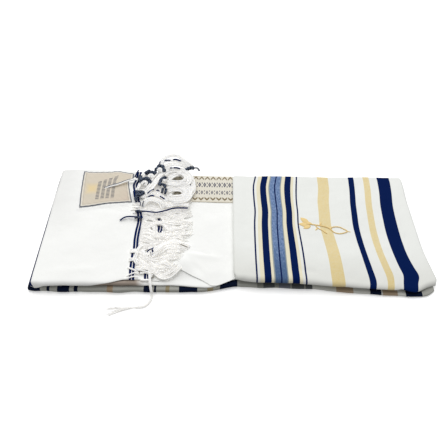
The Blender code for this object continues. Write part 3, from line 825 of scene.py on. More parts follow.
# The end with the corner patch, from its hem round the left fold
fold_radius = (END_FLAP[0].top - FLOOR_GAP) / 2
fold_x = -HALF_LENGTH + fold_radius
flat = flat_columns(fold_x, END_HEM, 0.0030, END_HEM - fold_x, -1)
wrap = wrap_columns(fold_x, -1, fold_radius, 14, WRAP_STOP, END_HEM - fold_x)
end_fold = Fold(
    edges=END_FLAP,
    top=end_surface,
    lip=lambda x: mix(mix(2 * fold_radius, 0.0100, ease(-0.330, -0.314, x)), 0.0022, ease(-0.245, -0.205, x)),
    reach=lambda x: mix(0.0070, 0.0045, ease(-0.245, -0.205, x)),
    gap=0.0021,
    seed=11,
)
end_flap = folded_sheet("end_flap", list(reversed(wrap)) + flat, fold_rows(40, 12, 90), end_fold, end_weave,
                        stray=end_stray)
on_body(end_flap, "white_cloth", "end_stretch")

# The lowest layer: its striped front fold shows all along the left half
low_fold = Fold(
    edges=LOWEST,
    top=lambda x, y: read(LOWEST, x, "top") + rumpled(x, y, 4) * 0.3,
    lip=lambda x: read(LOWEST, x, "top") - FLOOR_GAP,
    reach=0.0032,
    gap=lambda x: read(LOWEST, x, "top") - FLOOR_GAP - 0.0006,
    seed=21,
)
lowest_layer = folded_sheet("lowest_layer", flat_columns(-0.3418, 0.0393, 0.0036, -0.3418),
                            fold_rows(30, 12, 40), low_fold, low_weave)
on_body(lowest_layer, "striped_cloth", "hidden_layers")


def second_top(x, y):
    """High at its front fold where the flap is lifted, level with the pile further in."""
    edge = read(SECOND, x, "front")
    inside = mix(pile_side(x) + 0.0002, middle_top(x, y) - 0.0018, ease(-0.190, -0.178, x))
    far = mix(edge + 0.018, edge + 0.030, ease(-0.150, -0.125, x))
    return mix(read(SECOND, x, "top"), inside, ease(edge + 0.003, far, y)) + rumpled(x, y, 6) * 0.2


second_fold = Fold(
    edges=SECOND,
    top=second_top,
    lip=lambda x: max(read(SECOND, x, "top") - read(LOWEST, x, "top") - 0.0002, 0.0026),
    reach=0.0040,
    gap=0.0026,
    seed=31,
)
second_layer = folded_sheet("second_layer", flat_columns(-0.324, 0.036, 0.0040), fold_rows(26, 10, 60),
                            second_fold, shaded_weave)
on_body(second_layer, "white_cloth")

THIRD_DEPTH = 0.0030  # under the top of the end


def third_top(x, y):
    return end_top(x, y) - THIRD_DEPTH


third_fold = Fold(
    edges=behind(END_FLAP, 0.0110, 0.0020),
    top=third_top,
    lip=lambda x: max(third_top(x, 0) - pile_side(x) - 0.0006, 0.0030),
    reach=0.0045,
    gap=0.0032,
    seed=41,
)
third_layer = folded_sheet("third_layer", flat_columns(-0.326, -0.1846, 0.0045), fold_rows(20, 10, 30),
                           third_fold, white_weave)
on_body(third_layer, "white_cloth")

# The stretch between the piles, with the arched fold at its front edge
middle_fold = Fold(
    edges=MIDDLE,
    top=middle_surface,
    lip=0.0013,
    reach=0.0070,
    gap=0.0012,
    seed=51,
)
middle_cloth = folded_sheet("middle_cloth", flat_columns(-0.1830, 0.0095, 0.0026), fold_rows(20, 10, 110),
                            middle_fold, white_weave)
on_body(middle_cloth, "white_cloth", "middle_stretch")

# The under half's end, right of the upper half's hem
UNDER_CELLS = (40, 120)


def under_form(i, j):
    y = mix(UNDER_FRONT, UNDER_BACK, j / UNDER_CELLS[1])
    hem = under_hem_x(y) + uneven(y, 0.2, 0.020, 0.0020, 61)
    x = mix(UNDER_LEFT, hem, i / UNDER_CELLS[0])
    z = middle_surface(x, y) + LAID_GAP + FLAP_LIFT + abs(uneven(x, y, 0.02, 0.0008, 62))
    return Vector((x, y, z)), (hem - x, y)


under_flap = formed_sheet("under_flap", *UNDER_CELLS, under_form, CLOTH_WALL, end_weave)
on_body(under_flap, "white_cloth", "under_end")

# The striped stretch on top of the right pile
right_radius = (STRIPED[-1].top - FLOOR_GAP) / 2
right_x = HALF_LENGTH - right_radius
left_radius = (STRIPED[0].top - MIDDLE_TOP - LAID_GAP) / 2
left_x = RIGHT_FOLD_LEFT + left_radius


def striped_low(x, y):
    if x < 0.1:
        return middle_top(x, y) + 0.0006 + 0.0014 * ease(0.035, NECKBAND["front"] - 0.004, y)
    return FLOOR_GAP


def striped_lip(x):
    full = read(STRIPED, x, "top") - pile_side(x) - 0.0002
    start = mix(2 * left_radius, full, ease(left_x, left_x + 0.016, x))
    start *= mix(1, 0.70, ease(left_x + 0.004, left_x + 0.024, x))
    return mix(start, 2 * right_radius, ease(0.296, 0.328, x))


striped_fold = Fold(
    edges=STRIPED,
    top=lambda x, y: striped_top(x, y) + rumpled(x, y, 12) * ease(0.0, 0.03, x) * (1 - ease(0.3, 0.33, x)),
    low=striped_low,
    lip=striped_lip,
    reach=lambda x: mix(0.0090, 0.0085, ease(0.24, 0.32, x)) + 0.0080 * math.exp(-((x - 0.282) / 0.008) ** 2),
    gap=0.0021,
    corner=RIGHT_CORNER,
    seed=71,
)


def right_corner(x, y):
    """Both right corners are drawn out, the front one more."""
    return ease(0.302, 0.336, x) * (0.0105 * (1 - ease(-0.150, -0.030, y)) + 0.0028 * ease(0.070, 0.130, y))


left_wrap = wrap_columns(left_x, -1, left_radius, 10, TUCK_STOP, left_x - THIN_LINE_X, -1)
right_wrap = wrap_columns(right_x, 1, right_radius, 12, WRAP_STOP, right_x - THIN_LINE_X)
top_columns = flat_columns(left_x, right_x, 0.0032, left_x - THIN_LINE_X)
striped_columns = list(reversed(left_wrap)) + top_columns + right_wrap
striped_stretch = folded_sheet("striped_stretch", striped_columns, fold_rows(40, 16, 90), striped_fold,
                               striped_weave, stray=sway, skew=right_corner)
on_body(striped_stretch, "striped_cloth", "right_stretch")

# Two layers inside the right pile
LOWER = table(
    "x front back",
    (37, -128.4, 124.5),
    (70, -129, 125.5),
    (105, -130.2, 126.2),
    (130, -130.4, 126.8),
    (147, -131.8, 127.2),
    (170, -134.8, 127.8),
    (200, -137.4, 128.5),
    (228, -139, 129.2),
    (262, -140.6, 130),
    (290, -142.4, 130.8),
    (316, -142.4, 131),
    (326, -140, 131),
    (334, -135, 131),
    (341, -129, 131),
)

lower_fold = Fold(
    edges=LOWER,
    top=lambda x, y: pile_side(x) - 0.0003,
    lip=lambda x: pile_side(x) - 0.0003 - FLOOR_GAP,
    reach=0.0040,
    gap=lambda x: pile_side(x) - FLOOR_GAP - 0.0012,
    corner=RIGHT_CORNER,
    seed=81,
)
lower_layer = folded_sheet("lower_layer", flat_columns(0.0395, 0.3395, 0.0040, 0.0395),
                           fold_rows(20, 10, 36), lower_fold, lower_weave)
on_body(lower_layer, "white_cloth")

INNER_DEPTH = 0.0034  # under the top of the striped stretch


def inner_side(x):
    return read(STRIPED, x, "top") - INNER_DEPTH - pile_side(x)


inner_fold = Fold(
    edges=behind(STRIPED, 0.0090, 0.0020),
    top=lambda x, y: striped_top(x, y) - INNER_DEPTH,
    lip=lambda x: max(inner_side(x) - 0.0004, 0.0026),
    reach=0.0040,
    gap=lambda x: max(inner_side(x) * 0.6, 0.0024),
    corner=RIGHT_CORNER,
    seed=91,
)
inner_layer = folded_sheet("inner_layer", flat_columns(0.0125, 0.3260, 0.0060), fold_rows(20, 8, 30),
                           inner_fold, white_weave)
on_body(inner_layer, "white_cloth")

# ---------------------------------------------------------------- patch and neckband


def satin_patch():
    """Beige satin: a grey-blue line round it, a plain gold square and columns of small dashes."""
    finish = Finish("patch_satin", "beige", 0.6)
    place, u, v = finish.cloth_place()
    tone = finish.speckle(place, 6.0, 3.0)
    finish.paint(((tone - 0.35) * 2.2).clamped(), "light_beige")
    finish.paint(((u - v - 0.1) * 0.9).clamped() * 0.45, "rose_beige")
    side = (u - 0.5).size().higher_of((v - 0.5).size())
    finish.paint(band(side, 0.452, 0.474, 0.008), "patch_margin")
    finish.paint(band(side, 0.478, 0.520, 0.006), "grey_blue")
    beads = ((u * 20.0 * math.pi * 2).sine() * (v * 20.0 * math.pi * 2).sine()).size()
    bead_row = band(side, 0.422, 0.440, 0.008) * (beads - 0.2).clamped()
    finish.paint(bead_row * 0.9, "bead_grey")
    square = ((u - 0.215) * 1.10).size().higher_of(((v - 0.485) * 0.90).size())
    finish.paint(((0.160 - square) / 0.12).clamped() * 0.58, "patch_gold")
    lean = v * 0.065
    column = (u - lean - 0.272) / 0.099
    top_edge = 0.76 + (column - 1.5) * 0.05
    in_rows = band(column, 0.0, 4.0, 0.02) * ((v - 0.14) / 0.02).clamped() * ((top_edge - v) / 0.02).clamped()
    worn = ((finish.speckle(place, 14.0) - 0.08) * 3.2).clamped()
    dash = band(column.part(), 0.08, 0.76, 0.10) * band((v / 0.042).part(), 0.14, 0.66, 0.20) * worn
    finish.paint(dash * in_rows * 0.95, "dash_grey")
    finish.feed("Base Color", finish.colour)
    finish.bump((v * 520.0).sine() * 0.2 + dash * in_rows + tone * 2.0, 0.0004, 0.5)
    return finish.material


PATCH_CELLS = 60


def patch_form(i, j):
    u = i / PATCH_CELLS
    v = j / PATCH_CELLS
    front = [mix(PATCH["front_left"][k], PATCH["front_right"][k], u) for k in (0, 1)]
    back = [mix(PATCH["back_left"][k], PATCH["back_right"][k], u) for k in (0, 1)]
    x = mix(front[0], back[0], v) - 0.0012 * math.sin(math.pi * v)
    x -= 0.0085 * u ** 4 * min(v / 0.66, 1) * (1 - ease(0.70, 0.84, v))
    y = mix(front[1], back[1], v)
    y += read(PATCH_BACK, u, "rise") * v ** 3 + 0.0005 * math.sin(9 * u + 3.6) * (1 - v) ** 3
    edge = 2 * max(abs(u - 0.5), abs(v - 0.5))
    pucker = 0.00035 * math.sin(46 * (u + v) + 9 * (u - v)) * edge ** 4
    pillow = 0.0007 * (1 - edge ** 3)
    return Vector((x, y, end_surface(x, y) + PATCH_WALL + LAID_GAP + pillow + pucker)), (u, v)


patch_cloth = formed_sheet("patch_cloth", PATCH_CELLS, PATCH_CELLS, patch_form, PATCH_WALL, satin_patch())
on_body(patch_cloth, "patch_satin", "corner_patch")


def satin_band():
    """Cream satin with zigzag borders and two rows of woven lozenges and bars."""
    finish = Finish("band_satin", "cream", 0.6)
    place, u, v = finish.cloth_place()
    tone = finish.speckle(place, 120.0, 3.0)
    fuzz = (finish.speckle(place, 700.0) - 0.5) * 0.0010
    finish.colour = finish.blend(tone, "band_shade", "band_light")
    for row, depth in ((0.0650, 0.0088), (0.0085, -0.0064)):
        wave = ((u + 0.00195) / 0.01138).part()
        line = (v - row) + (wave - 0.5).size() * depth * 1.9 - depth * 0.45 + fuzz
        peak = ((0.44 - (wave - 0.5).size()) * 20.0).clamped()
        finish.paint(band(line, -0.0024, 0.0024, 0.0010) * peak * 0.95, "zigzag_brown")
    for row, tall, pitch, shift in ((0.0466, 0.0070, 0.0098, 0.0), (0.0252, 0.0058, 0.0098, 0.0049)):
        wave = ((u + shift) / pitch).part()
        across = (v - row).size() + fuzz
        lozenge = (wave - 0.5).size() * pitch + across * 0.42
        figure = band(lozenge, -0.0100, 0.42 * tall, 0.0006)
        eye = band(lozenge, -0.0100, 0.0012, 0.0005)
        dots = band((wave - 0.5).size(), 0.40, 1.0, 0.05) * band(across, 0.45 * tall, 0.95 * tall, 0.0008)
        mark = (figure - eye * 0.6).clamped().higher_of(dots)
        finish.paint(mark * 0.95, "band_navy")
    border = band(v, -0.01, 0.0018, 0.0006).higher_of(band(v, BAND_DEPTH - 0.0018, 1.0, 0.0006))
    finish.paint(border * 0.4, "band_border")
    finish.feed("Base Color", finish.colour)
    finish.bump((u * 6000.0).sine() * 0.2 + tone, 0.0004, 0.5)
    return finish.material


BAND_CELLS = (60, 50)


def band_form(i, j):
    x = mix(NECKBAND["left"], NECKBAND["right"], i / BAND_CELLS[0])
    y = mix(NECKBAND["front"], NECKBAND["back"], j / BAND_CELLS[1]) + 0.0006 * math.sin(60 * x)
    edge = 2 * abs(j / BAND_CELLS[1] - 0.5)
    z = middle_surface(x, y) + LAID_GAP + PATCH_WALL + 0.0005 * (1 - edge ** 4)
    return Vector((x, y, z)), (x - NECKBAND["left"], y - NECKBAND["front"])


band_cloth = formed_sheet("band_cloth", *BAND_CELLS, band_form, PATCH_WALL, satin_band())
on_body(band_cloth, "band_satin", "neckband")

# ---------------------------------------------------------------- threads


def master_thread(sides, rings):
    """One straight round thread, a metre long, that every strand is copied from."""
    bpy.ops.object.select_all(action="DESELECT")
    bpy.ops.mesh.primitive_cylinder_add(vertices=sides, radius=1, depth=1, end_fill_type="NGON",
                                        location=(0, 0, 0.5))
    thread = bpy.context.object
    bpy.ops.object.transform_apply(location=True, rotation=True, scale=True)
    bpy.ops.object.mode_set(mode="EDIT")
    bpy.ops.mesh.select_mode(type="EDGE")
    bpy.ops.mesh.select_all(action="DESELECT")
    bpy.ops.object.mode_set(mode="OBJECT")
    for edge in thread.data.edges:
        low, high = (thread.data.vertices[k].co for k in edge.vertices)
        edge.select = abs(low.z - high.z) > 0.5
    bpy.ops.object.mode_set(mode="EDIT")
    bpy.ops.mesh.subdivide(number_cuts=rings - 1)
    bpy.ops.object.mode_set(mode="OBJECT")
    mesh = thread.data
    layer = mesh.uv_layers[0]
    for face in mesh.polygons:
        arounds = []
        for k in face.loop_indices:
            point = mesh.vertices[mesh.loops[k].vertex_index].co
            arounds.append(math.atan2(point.y, point.x) / (2 * math.pi) + 0.5)
        seam = max(arounds) - min(arounds) > 0.5
        for k, around in zip(face.loop_indices, arounds):
            point = mesh.vertices[mesh.loops[k].vertex_index].co
            layer.data[k].uv = (around + 1 if seam and around < 0.5 else around, point.z)
    return thread


def smooth_route(points, count):
    """Points at even steps along a smooth curve through the given ones."""
    points = [Vector(point) for point in points]
    rows = []
    for k in range(count + 1):
        s = k / count * (len(points) - 1)
        i = min(int(s), len(points) - 2)
        t = s - i
        p0 = points[max(i - 1, 0)]
        p1 = points[i]
        p2 = points[i + 1]
        p3 = points[min(i + 2, len(points) - 1)]
        rows.append(0.5 * (2 * p1 + (p2 - p0) * t + (2 * p0 - 5 * p1 + 4 * p2 - p3) * t * t
                           + (3 * p1 - p0 - 3 * p2 + p3) * t ** 3))
    return rows


def lay_thread(master, route, radius):
    """A copy of the master thread along a route; radius is a number or a function of the share."""
    thread = master.copy()
    thread.data = master.data.copy()
    bpy.context.scene.collection.objects.link(thread)
    mesh = thread.data
    count = len(mesh.vertices)
    points = np.empty(count * 3)
    mesh.vertices.foreach_get("co", points)
    points = points.reshape(count, 3)
    path = np.array([tuple(p) for p in route])
    steps = np.linalg.norm(np.diff(path, axis=0), axis=1)
    walked = np.concatenate([[0], np.cumsum(steps)])
    length = walked[-1]
    ahead = np.gradient(path, axis=0)
    ahead /= np.linalg.norm(ahead, axis=1)[:, None]
    side = np.cross(ahead, (0, 0, 1.0))
    side /= np.maximum(np.linalg.norm(side, axis=1), 1e-6)[:, None]
    over = np.cross(side, ahead)
    share = points[:, 2]

    def along(rows):
        return np.stack([np.interp(share * length, walked, rows[:, k]) for k in range(3)], axis=1)

    thick = np.array([radius(s) for s in share]) if callable(radius) else np.full(count, radius)
    placed = along(path) + (points[:, 0] * thick)[:, None] * along(side)
    placed += (points[:, 1] * thick)[:, None] * along(over)
    mesh.vertices.foreach_set("co", placed.ravel())
    layer = mesh.uv_layers[0]
    uv = np.empty(len(mesh.loops) * 2)
    layer.data.foreach_get("uv", uv)
    uv[1::2] *= length
    layer.data.foreach_set("uv", uv)
    mesh.update()
    return thread


def bundle(name, threads, finish):
    """Join laid threads into one piece."""
    pick_only(*threads)
    if len(threads) > 1:
        bpy.ops.object.join()
    piece = bpy.context.object
    piece.name = name
    piece.data.name = name
    piece.data.materials.clear()
    piece.data.materials.append(finish)
    bpy.ops.object.shade_smooth()
    return piece


fringe_master = master_thread(6, 18)
cord_master = master_thread(10, 90)
string_master = master_thread(8, 44)
# The white threads and strings give off a little light: painted light that keeps their shaded sides bright.
white_thread = twisted("white_thread", "thread", 0.10)
string_thread = twisted("string_thread", "string", 0.07)
deep_thread = twisted("deep_thread", "olive")
navy_thread = twisted("navy_thread", "navy")
grey_thread = twisted("grey_thread", "grey_blue")
wound_thread = wound("wound_thread")

# Places where the cloth under the fringe shows between its strands, and how wide they are
OPENINGS = table(
    "x y reach",
    (-134, -14.5, 13.5),
    (-133.5, 8.5, 7),
    (-144, -68, 11.5),
    (-148, -118, 10.5),
    (-111, 117, 9),
    (-108.5, 76, 9),
)


def under_flap_top(x, y):
    return middle_top(x, y) + 0.0018 if x < under_hem_x(y) else middle_top(x, y)


def parted(x, y):
    """A strand that would cover an opening passes it on one side."""
    for opening in OPENINGS:
        dx = x - opening.x
        dy = y - opening.y
        near = math.hypot(dx, dy) / opening.reach
        if near < 1.6:
            side = 1 if dy > 0 else -1
            y += side * opening.reach * 0.9 * math.exp(-near * near)
    return y


def sideways(points, i):
    """The level direction across a route at one of its points."""
    ahead = points[min(i + 1, len(points) - 1)] - points[max(i - 1, 0)]
    return Vector((-ahead.y, ahead.x, 0)).normalized()


def plies(middle, count, apart, chance):
    """The loose plies of one strand: together at its root, apart and wavy at its end."""
    routes = []
    last = len(middle) - 1
    for k in range(count):
        side_step = (k - (count - 1) / 2) * apart + chance.uniform(-0.4, 0.4) * apart
        beat = chance.uniform(1.5, 4.0)
        phase = chance.uniform(0, 2 * math.pi)
        route = []
        for i, point in enumerate(middle):
            t = i / last
            shift = side_step * (0.35 + 0.9 * t) + 0.5 * apart * t * math.sin(beat * math.pi * t + phase)
            route.append(point + sideways(middle, i) * shift)
        routes.append(route)
    return routes


def fringe(count, seed, radius, low_y, high_y, edge_x, sweep, root_z, ground, reach):
    """Strands that leave a hem close together, then stray, curl and cross."""
    chance = random.Random(seed)
    threads = []
    for k in range(count):
        y = mix(low_y, high_y, (k + chance.uniform(0.2, 0.8)) / count)
        x = edge_x(y) - 0.0010
        start, turning = sweep(y)
        heading = chance.gauss(0, 0.12) + start
        curl = chance.gauss(0, 0.35)
        wave = chance.uniform(-0.45, 0.45)
        length = reach(y) * chance.uniform(0.74, 1.06)
        lift = chance.uniform(0.0, 0.0030)
        crossing = chance.uniform(0.25, 0.75)
        thick = radius * chance.uniform(0.85, 1.2)
        steps = 10
        points = [(x, y, root_z(x, y))]
        for step in range(steps):
            t = (step + 1) / steps
            turn = heading + curl * t + turning * t * t + wave * math.sin(math.pi * t * 1.6)
            x += length / steps * math.cos(turn)
            y += length / steps * math.sin(turn)
            hump = math.exp(-((t - crossing) / 0.28) ** 2)
            low = ground(x, y) + thick
            high = low + lift * (0.35 + 0.65 * hump) * (1 - ease(0.65, 1, t)) - 0.8 * thick * ease(0.8, 1, t)
            z = mix(points[0][2], high, ease(0, 0.3, t))
            points.append((x, parted(x, y), max(z, low - 0.8 * thick if t > 0.3 else z)))
        for route in plies(smooth_route(points, 26), 3, 1.5 * thick, chance):
            threads.append(lay_thread(fringe_master, route,
                                      lambda s, thick=thick: 0.62 * thick * (1 - 0.65 * ease(0.7, 1, s))))
    return threads


def upper_sweep(y):
    """Near the front the upper fringe droops forward, then turns back to the raised fold."""
    front = 1 - ease(-0.105, -0.035, y)
    return mix(-0.10 + 0.10 * math.sin(24 * y), -0.50, front), mix(0.0, 1.75, front)


upper_threads = fringe(
    count=118, seed=22, radius=0.00150, low_y=-0.1050, high_y=0.1320, sweep=upper_sweep,
    edge_x=lambda y: END_HEM,
    root_z=lambda x, y: end_top(x, y) - 0.0006,
    ground=lambda x, y: under_flap_top(x, y) + 0.0012,
    reach=lambda y: mix(0.076 + 0.010 * math.sin(19 * y + 1.0), 0.064, ease(0.020, 0.050, y)))
upper_fringe = bundle("upper_fringe_threads", upper_threads, white_thread)
on_body(upper_fringe, "white_thread", "upper_fringe")

under_threads = fringe(
    count=84, seed=23, radius=0.00145, low_y=-0.1080, high_y=UNDER_BACK - 0.003,
    edge_x=under_hem_x,
    sweep=lambda y: (0.16 * math.sin(21 * y + 0.6), 0.3),
    root_z=lambda x, y: middle_top(x, y) + 0.0016,
    ground=lambda x, y: middle_top(x, y) + (0.0016 if y > 0.05 else 0.0002),
    reach=lambda y: ease(-0.16, -0.07, y) * mix(0.060 + 0.010 * math.sin(23 * y), 0.044,
                                                ease(0.030, 0.060, y)))
under_fringe = bundle("under_fringe_threads", under_threads, white_thread)
on_body(under_fringe, "white_thread", "under_fringe")


def side_by_side(points, count, spread, seed):
    """Routes of several strings that lie next to each other."""
    chance = random.Random(seed)
    steps = 40
    middle = smooth_route(points, steps)
    routes = []
    for k in range(count):
        across = ((k / (count - 1)) - 0.5) * spread if count > 1 else 0
        drift = chance.uniform(-0.45, 0.45) * spread
        swing = chance.uniform(-0.5, 0.5)
        beat = chance.uniform(2.0, 4.0)
        rise = chance.uniform(0, 0.0012)
        route = []
        for i, point in enumerate(middle):
            t = i / steps
            shift = across + drift * (t - 0.5) + 0.1 * spread * swing * math.sin(beat * math.pi * t)
            route.append(point + sideways(middle, i) * shift + Vector((0, 0, rise * math.sin(math.pi * t))))
        routes.append(route)
    return routes


WHITE_STRINGS = strings(
    # out of the patch's eyelet to the knots
    (2, 2.2, 1.2, (-247.6, 83.6, 22.2), (-235, 88, 24.8), (-222.3, 92.4, 25.2), (-204.8, 102.8, 25.5),
     (-191.8, 107, 26.2), (-184, 107.5, 26.2)),
    # the three loops that reach over the back edge
    (5, 7, 1.1, (-138.5, 127.5, 27), (-144, 144, 29), (-140, 160, 29.8), (-131, 171, 30),
     (-119, 175.5, 30), (-108, 173, 29.6), (-99, 164, 28.5), (-89, 156, 26.8), (-81, 148.5, 25)),
    (4, 6, 1.2, (-141.6, 140.5, 28), (-140.4, 153, 28.8), (-132, 159.5, 29), (-116, 161, 29),
     (-104.3, 159, 28), (-93.2, 152, 26.8), (-83.3, 145, 25)),
    (4, 7, 1.2, (-138.7, 144, 28), (-125.3, 150, 28), (-112, 151.5, 28), (-99.5, 148, 27),
     (-88.5, 142, 25.8)),
    (4, 6, 1.2, (-137.2, 139, 28), (-128.9, 141.6, 27.8), (-118, 140, 27.2), (-104.3, 138.6, 26.8),
     (-90.4, 137.2, 25.2)),
    # the band of strings that runs down from the knots to the hem
    (6, 12.5, 1.3, (-137.2, 127, 27), (-145.5, 110.7, 27.8), (-153.2, 92.4, 27.6), (-161.1, 77, 26.8),
     (-166.6, 68.7, 25), (-168.9, 59.1, 23.2)),
    # loops round the two hollows
    (8, 15, 1.4, (-132.7, 119.4, 26.2), (-124, 128, 26.8), (-108.9, 130.5, 26.8), (-94, 127, 26),
     (-86, 113.9, 25), (-90.5, 100, 24.5), (-103.1, 96.3, 25), (-116.8, 98, 25), (-128.5, 104.5, 24.8)),
    (8, 15, 1.4, (-126.5, 89.8, 24.5), (-112.8, 88.5, 25), (-98.3, 88, 25), (-87, 78, 23.8),
     (-88, 63, 22.8), (-102.9, 54.5, 23.2), (-119, 57, 23.5), (-126.5, 68, 23.2)),
    (4, 7, 1.3, (-96, 133, 25), (-82.2, 121, 23), (-76.5, 101, 21.2), (-77, 83, 20), (-83.5, 72.4, 19)),
    (3, 5, 1.3, (-125.9, 96.2, 26.2), (-109.2, 93, 26.2), (-94.8, 96, 25), (-84.3, 91.4, 22.8),
     (-80, 78.8, 20.5)),
    # strings that close the hollows to narrow leaves
    (4, 6, 1.2, (-124.5, 108.5, 26.2), (-118, 116, 26.8), (-109.5, 121.8, 26.8), (-99, 126.2, 26.2),
     (-90, 122, 25.5)),
    (4, 5.5, 1.2, (-126, 105.5, 25.5), (-116.5, 103, 25.6), (-106, 102.2, 25.4), (-96.5, 105, 25),
     (-91.5, 114, 25)),
    (4, 6, 1.2, (-124, 76, 24.5), (-113.5, 80.2, 25.2), (-102, 79.8, 25), (-93, 76, 24)),
    (3, 4.5, 1.2, (-123, 66, 24), (-112, 63.8, 24.2), (-101, 65.5, 23.8), (-92.5, 71.5, 23.2)),
    # loops in front of the knots
    (4, 8, 1.4, (-170, 38, 22.5), (-164.4, 48, 24.5), (-155.9, 53, 25.5), (-142.7, 51, 25.5),
     (-133, 44, 24.5), (-128.6, 34.8, 22.5)),
    (3, 6, 1.4, (-130, 48, 24), (-122, 40.5, 23.2), (-111.4, 44, 22.4), (-96.4, 45.5, 21.5),
     (-82.3, 44.3, 19.6)),
    (3, 6, 1.4, (-162, 60, 24), (-152, 68, 25), (-142, 66, 25.5), (-133, 60, 25), (-125, 50, 24)),
    # the turn that hides the hem behind the knots
    (2, 3.4, 1.5, (-178.2, 103, 25), (-179.5, 94, 25.2), (-181.2, 86, 24.8), (-183, 78.5, 24)),
    # the white double knots between the windings
    (2, 2.6, 1.6, (-148, 129, 30), (-144.4, 132.5, 31.8), (-141.2, 130, 31.8), (-142.3, 125.5, 30)),
    (2, 3, 1.6, (-164, 111, 28.5), (-160.9, 116.5, 30.2), (-157.1, 115, 30.2), (-156.8, 109, 28.5)),
    (2, 2.6, 1.5, (-176, 93, 27), (-171.1, 97.5, 29), (-166.2, 95, 29), (-168, 89, 27.2)),
    (2, 2.6, 1.3, (-137, 98.5, 27.5), (-134, 103, 29), (-131, 101, 29)),
    (2, 3, 1.4, (-160, -54, 20.5), (-166.2, -64, 20.8), (-167.2, -72, 20.8), (-168.4, -80, 20.8),
     (-169.2, -88, 20.8), (-164, -96, 20.5)),
    (3, 7, 1.3, (-166, -105, 20.5), (-156, -106.5, 20.8), (-145, -108.5, 20.5), (-134, -113, 19.2)),
)
# Soft ends of the fringe, drawn together over the raised cloth
FRINGE_ENDS = strings(
    (6, 10, 1.2, (-141.4, -78.9, 21), (-127.8, -69.3, 21.6), (-119.2, -59.7, 21.4),
     (-107.9, -55.4, 20.5), (-92.5, -51.6, 18.8), (-78.7, -56, 16)),
    (5, 8, 1.1, (-138.3, -68.2, 20.8), (-126.7, -57.2, 20.8), (-112.7, -47.8, 19.2),
     (-98.3, -42.6, 17.2), (-87.5, -45.7, 15.8)),
    (9, 13, 1.2, (-161, -83, 20), (-150, -92, 19.8), (-141, -100, 18.8), (-131, -108.5, 17),
     (-121, -116, 15.8), (-112, -115, 16.6), (-103, -107.5, 19.5), (-95, -98, 22.5)),
    (2, 1.8, 1.1, (-158, -112.7, 18), (-149.6, -112.2, 18.4), (-141, -114.8, 18.2),
     (-137.2, -120.5, 17.6)),
    (2, 1.6, 1, (-155.9, -125.6, 16.8), (-147.5, -126.4, 17), (-138.5, -125.3, 16.8)),
)
# Dark olive strings that paint shade: deep in the hollows between the loops and along the edges of the fringe
SHADE_STRINGS = strings(
    (5, 6, 1.2, (-116.5, 108.5, 22.6), (-111.5, 111, 23.6), (-106, 114, 24), (-101, 118.5, 23.2)),
    (3, 3.4, 1, (-112.5, 73.8, 21.6), (-106, 75, 22.4), (-99.5, 74.5, 21.6)),
    (1, 0, 0.8, (-133.5, -64.1, 18.6), (-131, -55.2, 19), (-125.1, -48.3, 18.6)),
    (1, 0, 0.6, (-102.3, -47.5, 18.2), (-90.7, -51.2, 18), (-80.9, -54.3, 17)),
    (2, 1.6, 0.8, (-160.8, -109.7, 17.6), (-153.4, -107.8, 18), (-144.8, -110, 17.8),
     (-138.3, -115.6, 17.6), (-135.5, -121.3, 17)),
)
NAVY_STRINGS = strings(
    (1, 0, 1.4, (-191.2, 118, 23), (-189, 127, 23.6), (-186.6, 136.5, 23.2)),
    (1, 0, 1.1, (-189.5, 76, 24.2), (-188, 68, 24), (-183.8, 55, 23.2)),
    (1, 0, 1.2, (-135.9, 158.5, 31.2), (-130, 159, 31.2), (-124.1, 159.6, 31.2)),
    (1, 0, 1.4, (-119.4, 161.4, 31.2), (-113, 161.9, 31.2), (-103.7, 158.9, 30.4)),
    (1, 0, 1, (-123.8, 137.8, 29.6), (-119.1, 138.7, 29.6)),
    (1, 0, 1.3, (-116.5, 139.6, 29.2), (-110.6, 138.9, 29), (-104.2, 137.5, 28.6)),
    (1, 0, 1, (-144.7, 155, 31), (-145.2, 147.7, 30.8), (-149, 141.3, 30)),
    (1, 0, 1.2, (-145.3, 75.5, 28.2), (-142.5, 75, 28.4), (-139.9, 72.7, 28.2)),
    (1, 0, 1, (-162, 68.1, 27), (-156.9, 73.3, 28.2), (-150.2, 78.6, 29)),
    (1, 0, 1.3, (-161, 58, 26.2), (-154.9, 62.5, 27), (-148.7, 61.6, 27.2)),
    (1, 0, 1.2, (-137.5, 61, 27.2), (-133.3, 58, 26.8), (-128.8, 55, 26)),
    (1, 0, 1.3, (-176, 19, 23.8), (-173.5, 22.5, 25.2), (-163, 22.5, 25.6), (-141.5, 20.5, 25.2),
     (-123.7, 26.5, 24.6), (-108.8, 33.5, 23.8), (-84.2, 37, 21.2)),
    (1, 0, 1.3, (-206.2, 3, 21.7), (-199, 8.5, 22.6), (-191.9, 11, 22.4), (-176.8, 11.2, 22.2),
     (-165, 11, 22)),
    (2, 2, 1.1, (-176, 20, 23.6), (-172.5, 23.5, 24.6), (-170, 20.5, 24)),
    (1, 0, 0.9, (-150.4, -69.5, 20.4), (-146.3, -64.5, 21), (-139.1, -60.4, 20.6)),
    (1, 0, 1, (-140.9, -61.6, 20.8), (-140.6, -70.8, 21.2), (-140.6, -78.4, 20.2)),
)
GREY_STRINGS = strings(
    (1, 0, 1, (-172.5, 46, 26.2), (-172.7, 36.7, 25.5)),
    (1, 0, 1.2, (-167.4, 47.5, 27), (-168.2, 34.8, 25.5)),
    (2, 1.8, 1, (-76.2, 144, 25.2), (-70, 144, 24.6), (-65.4, 138.8, 22.6)),
    (1, 0, 0.8, (-247.6, 85, 23), (-235, 89.6, 25.6), (-222.3, 94, 26.2), (-204.8, 104.4, 26.4),
     (-191.8, 108.5, 26.8)),
)
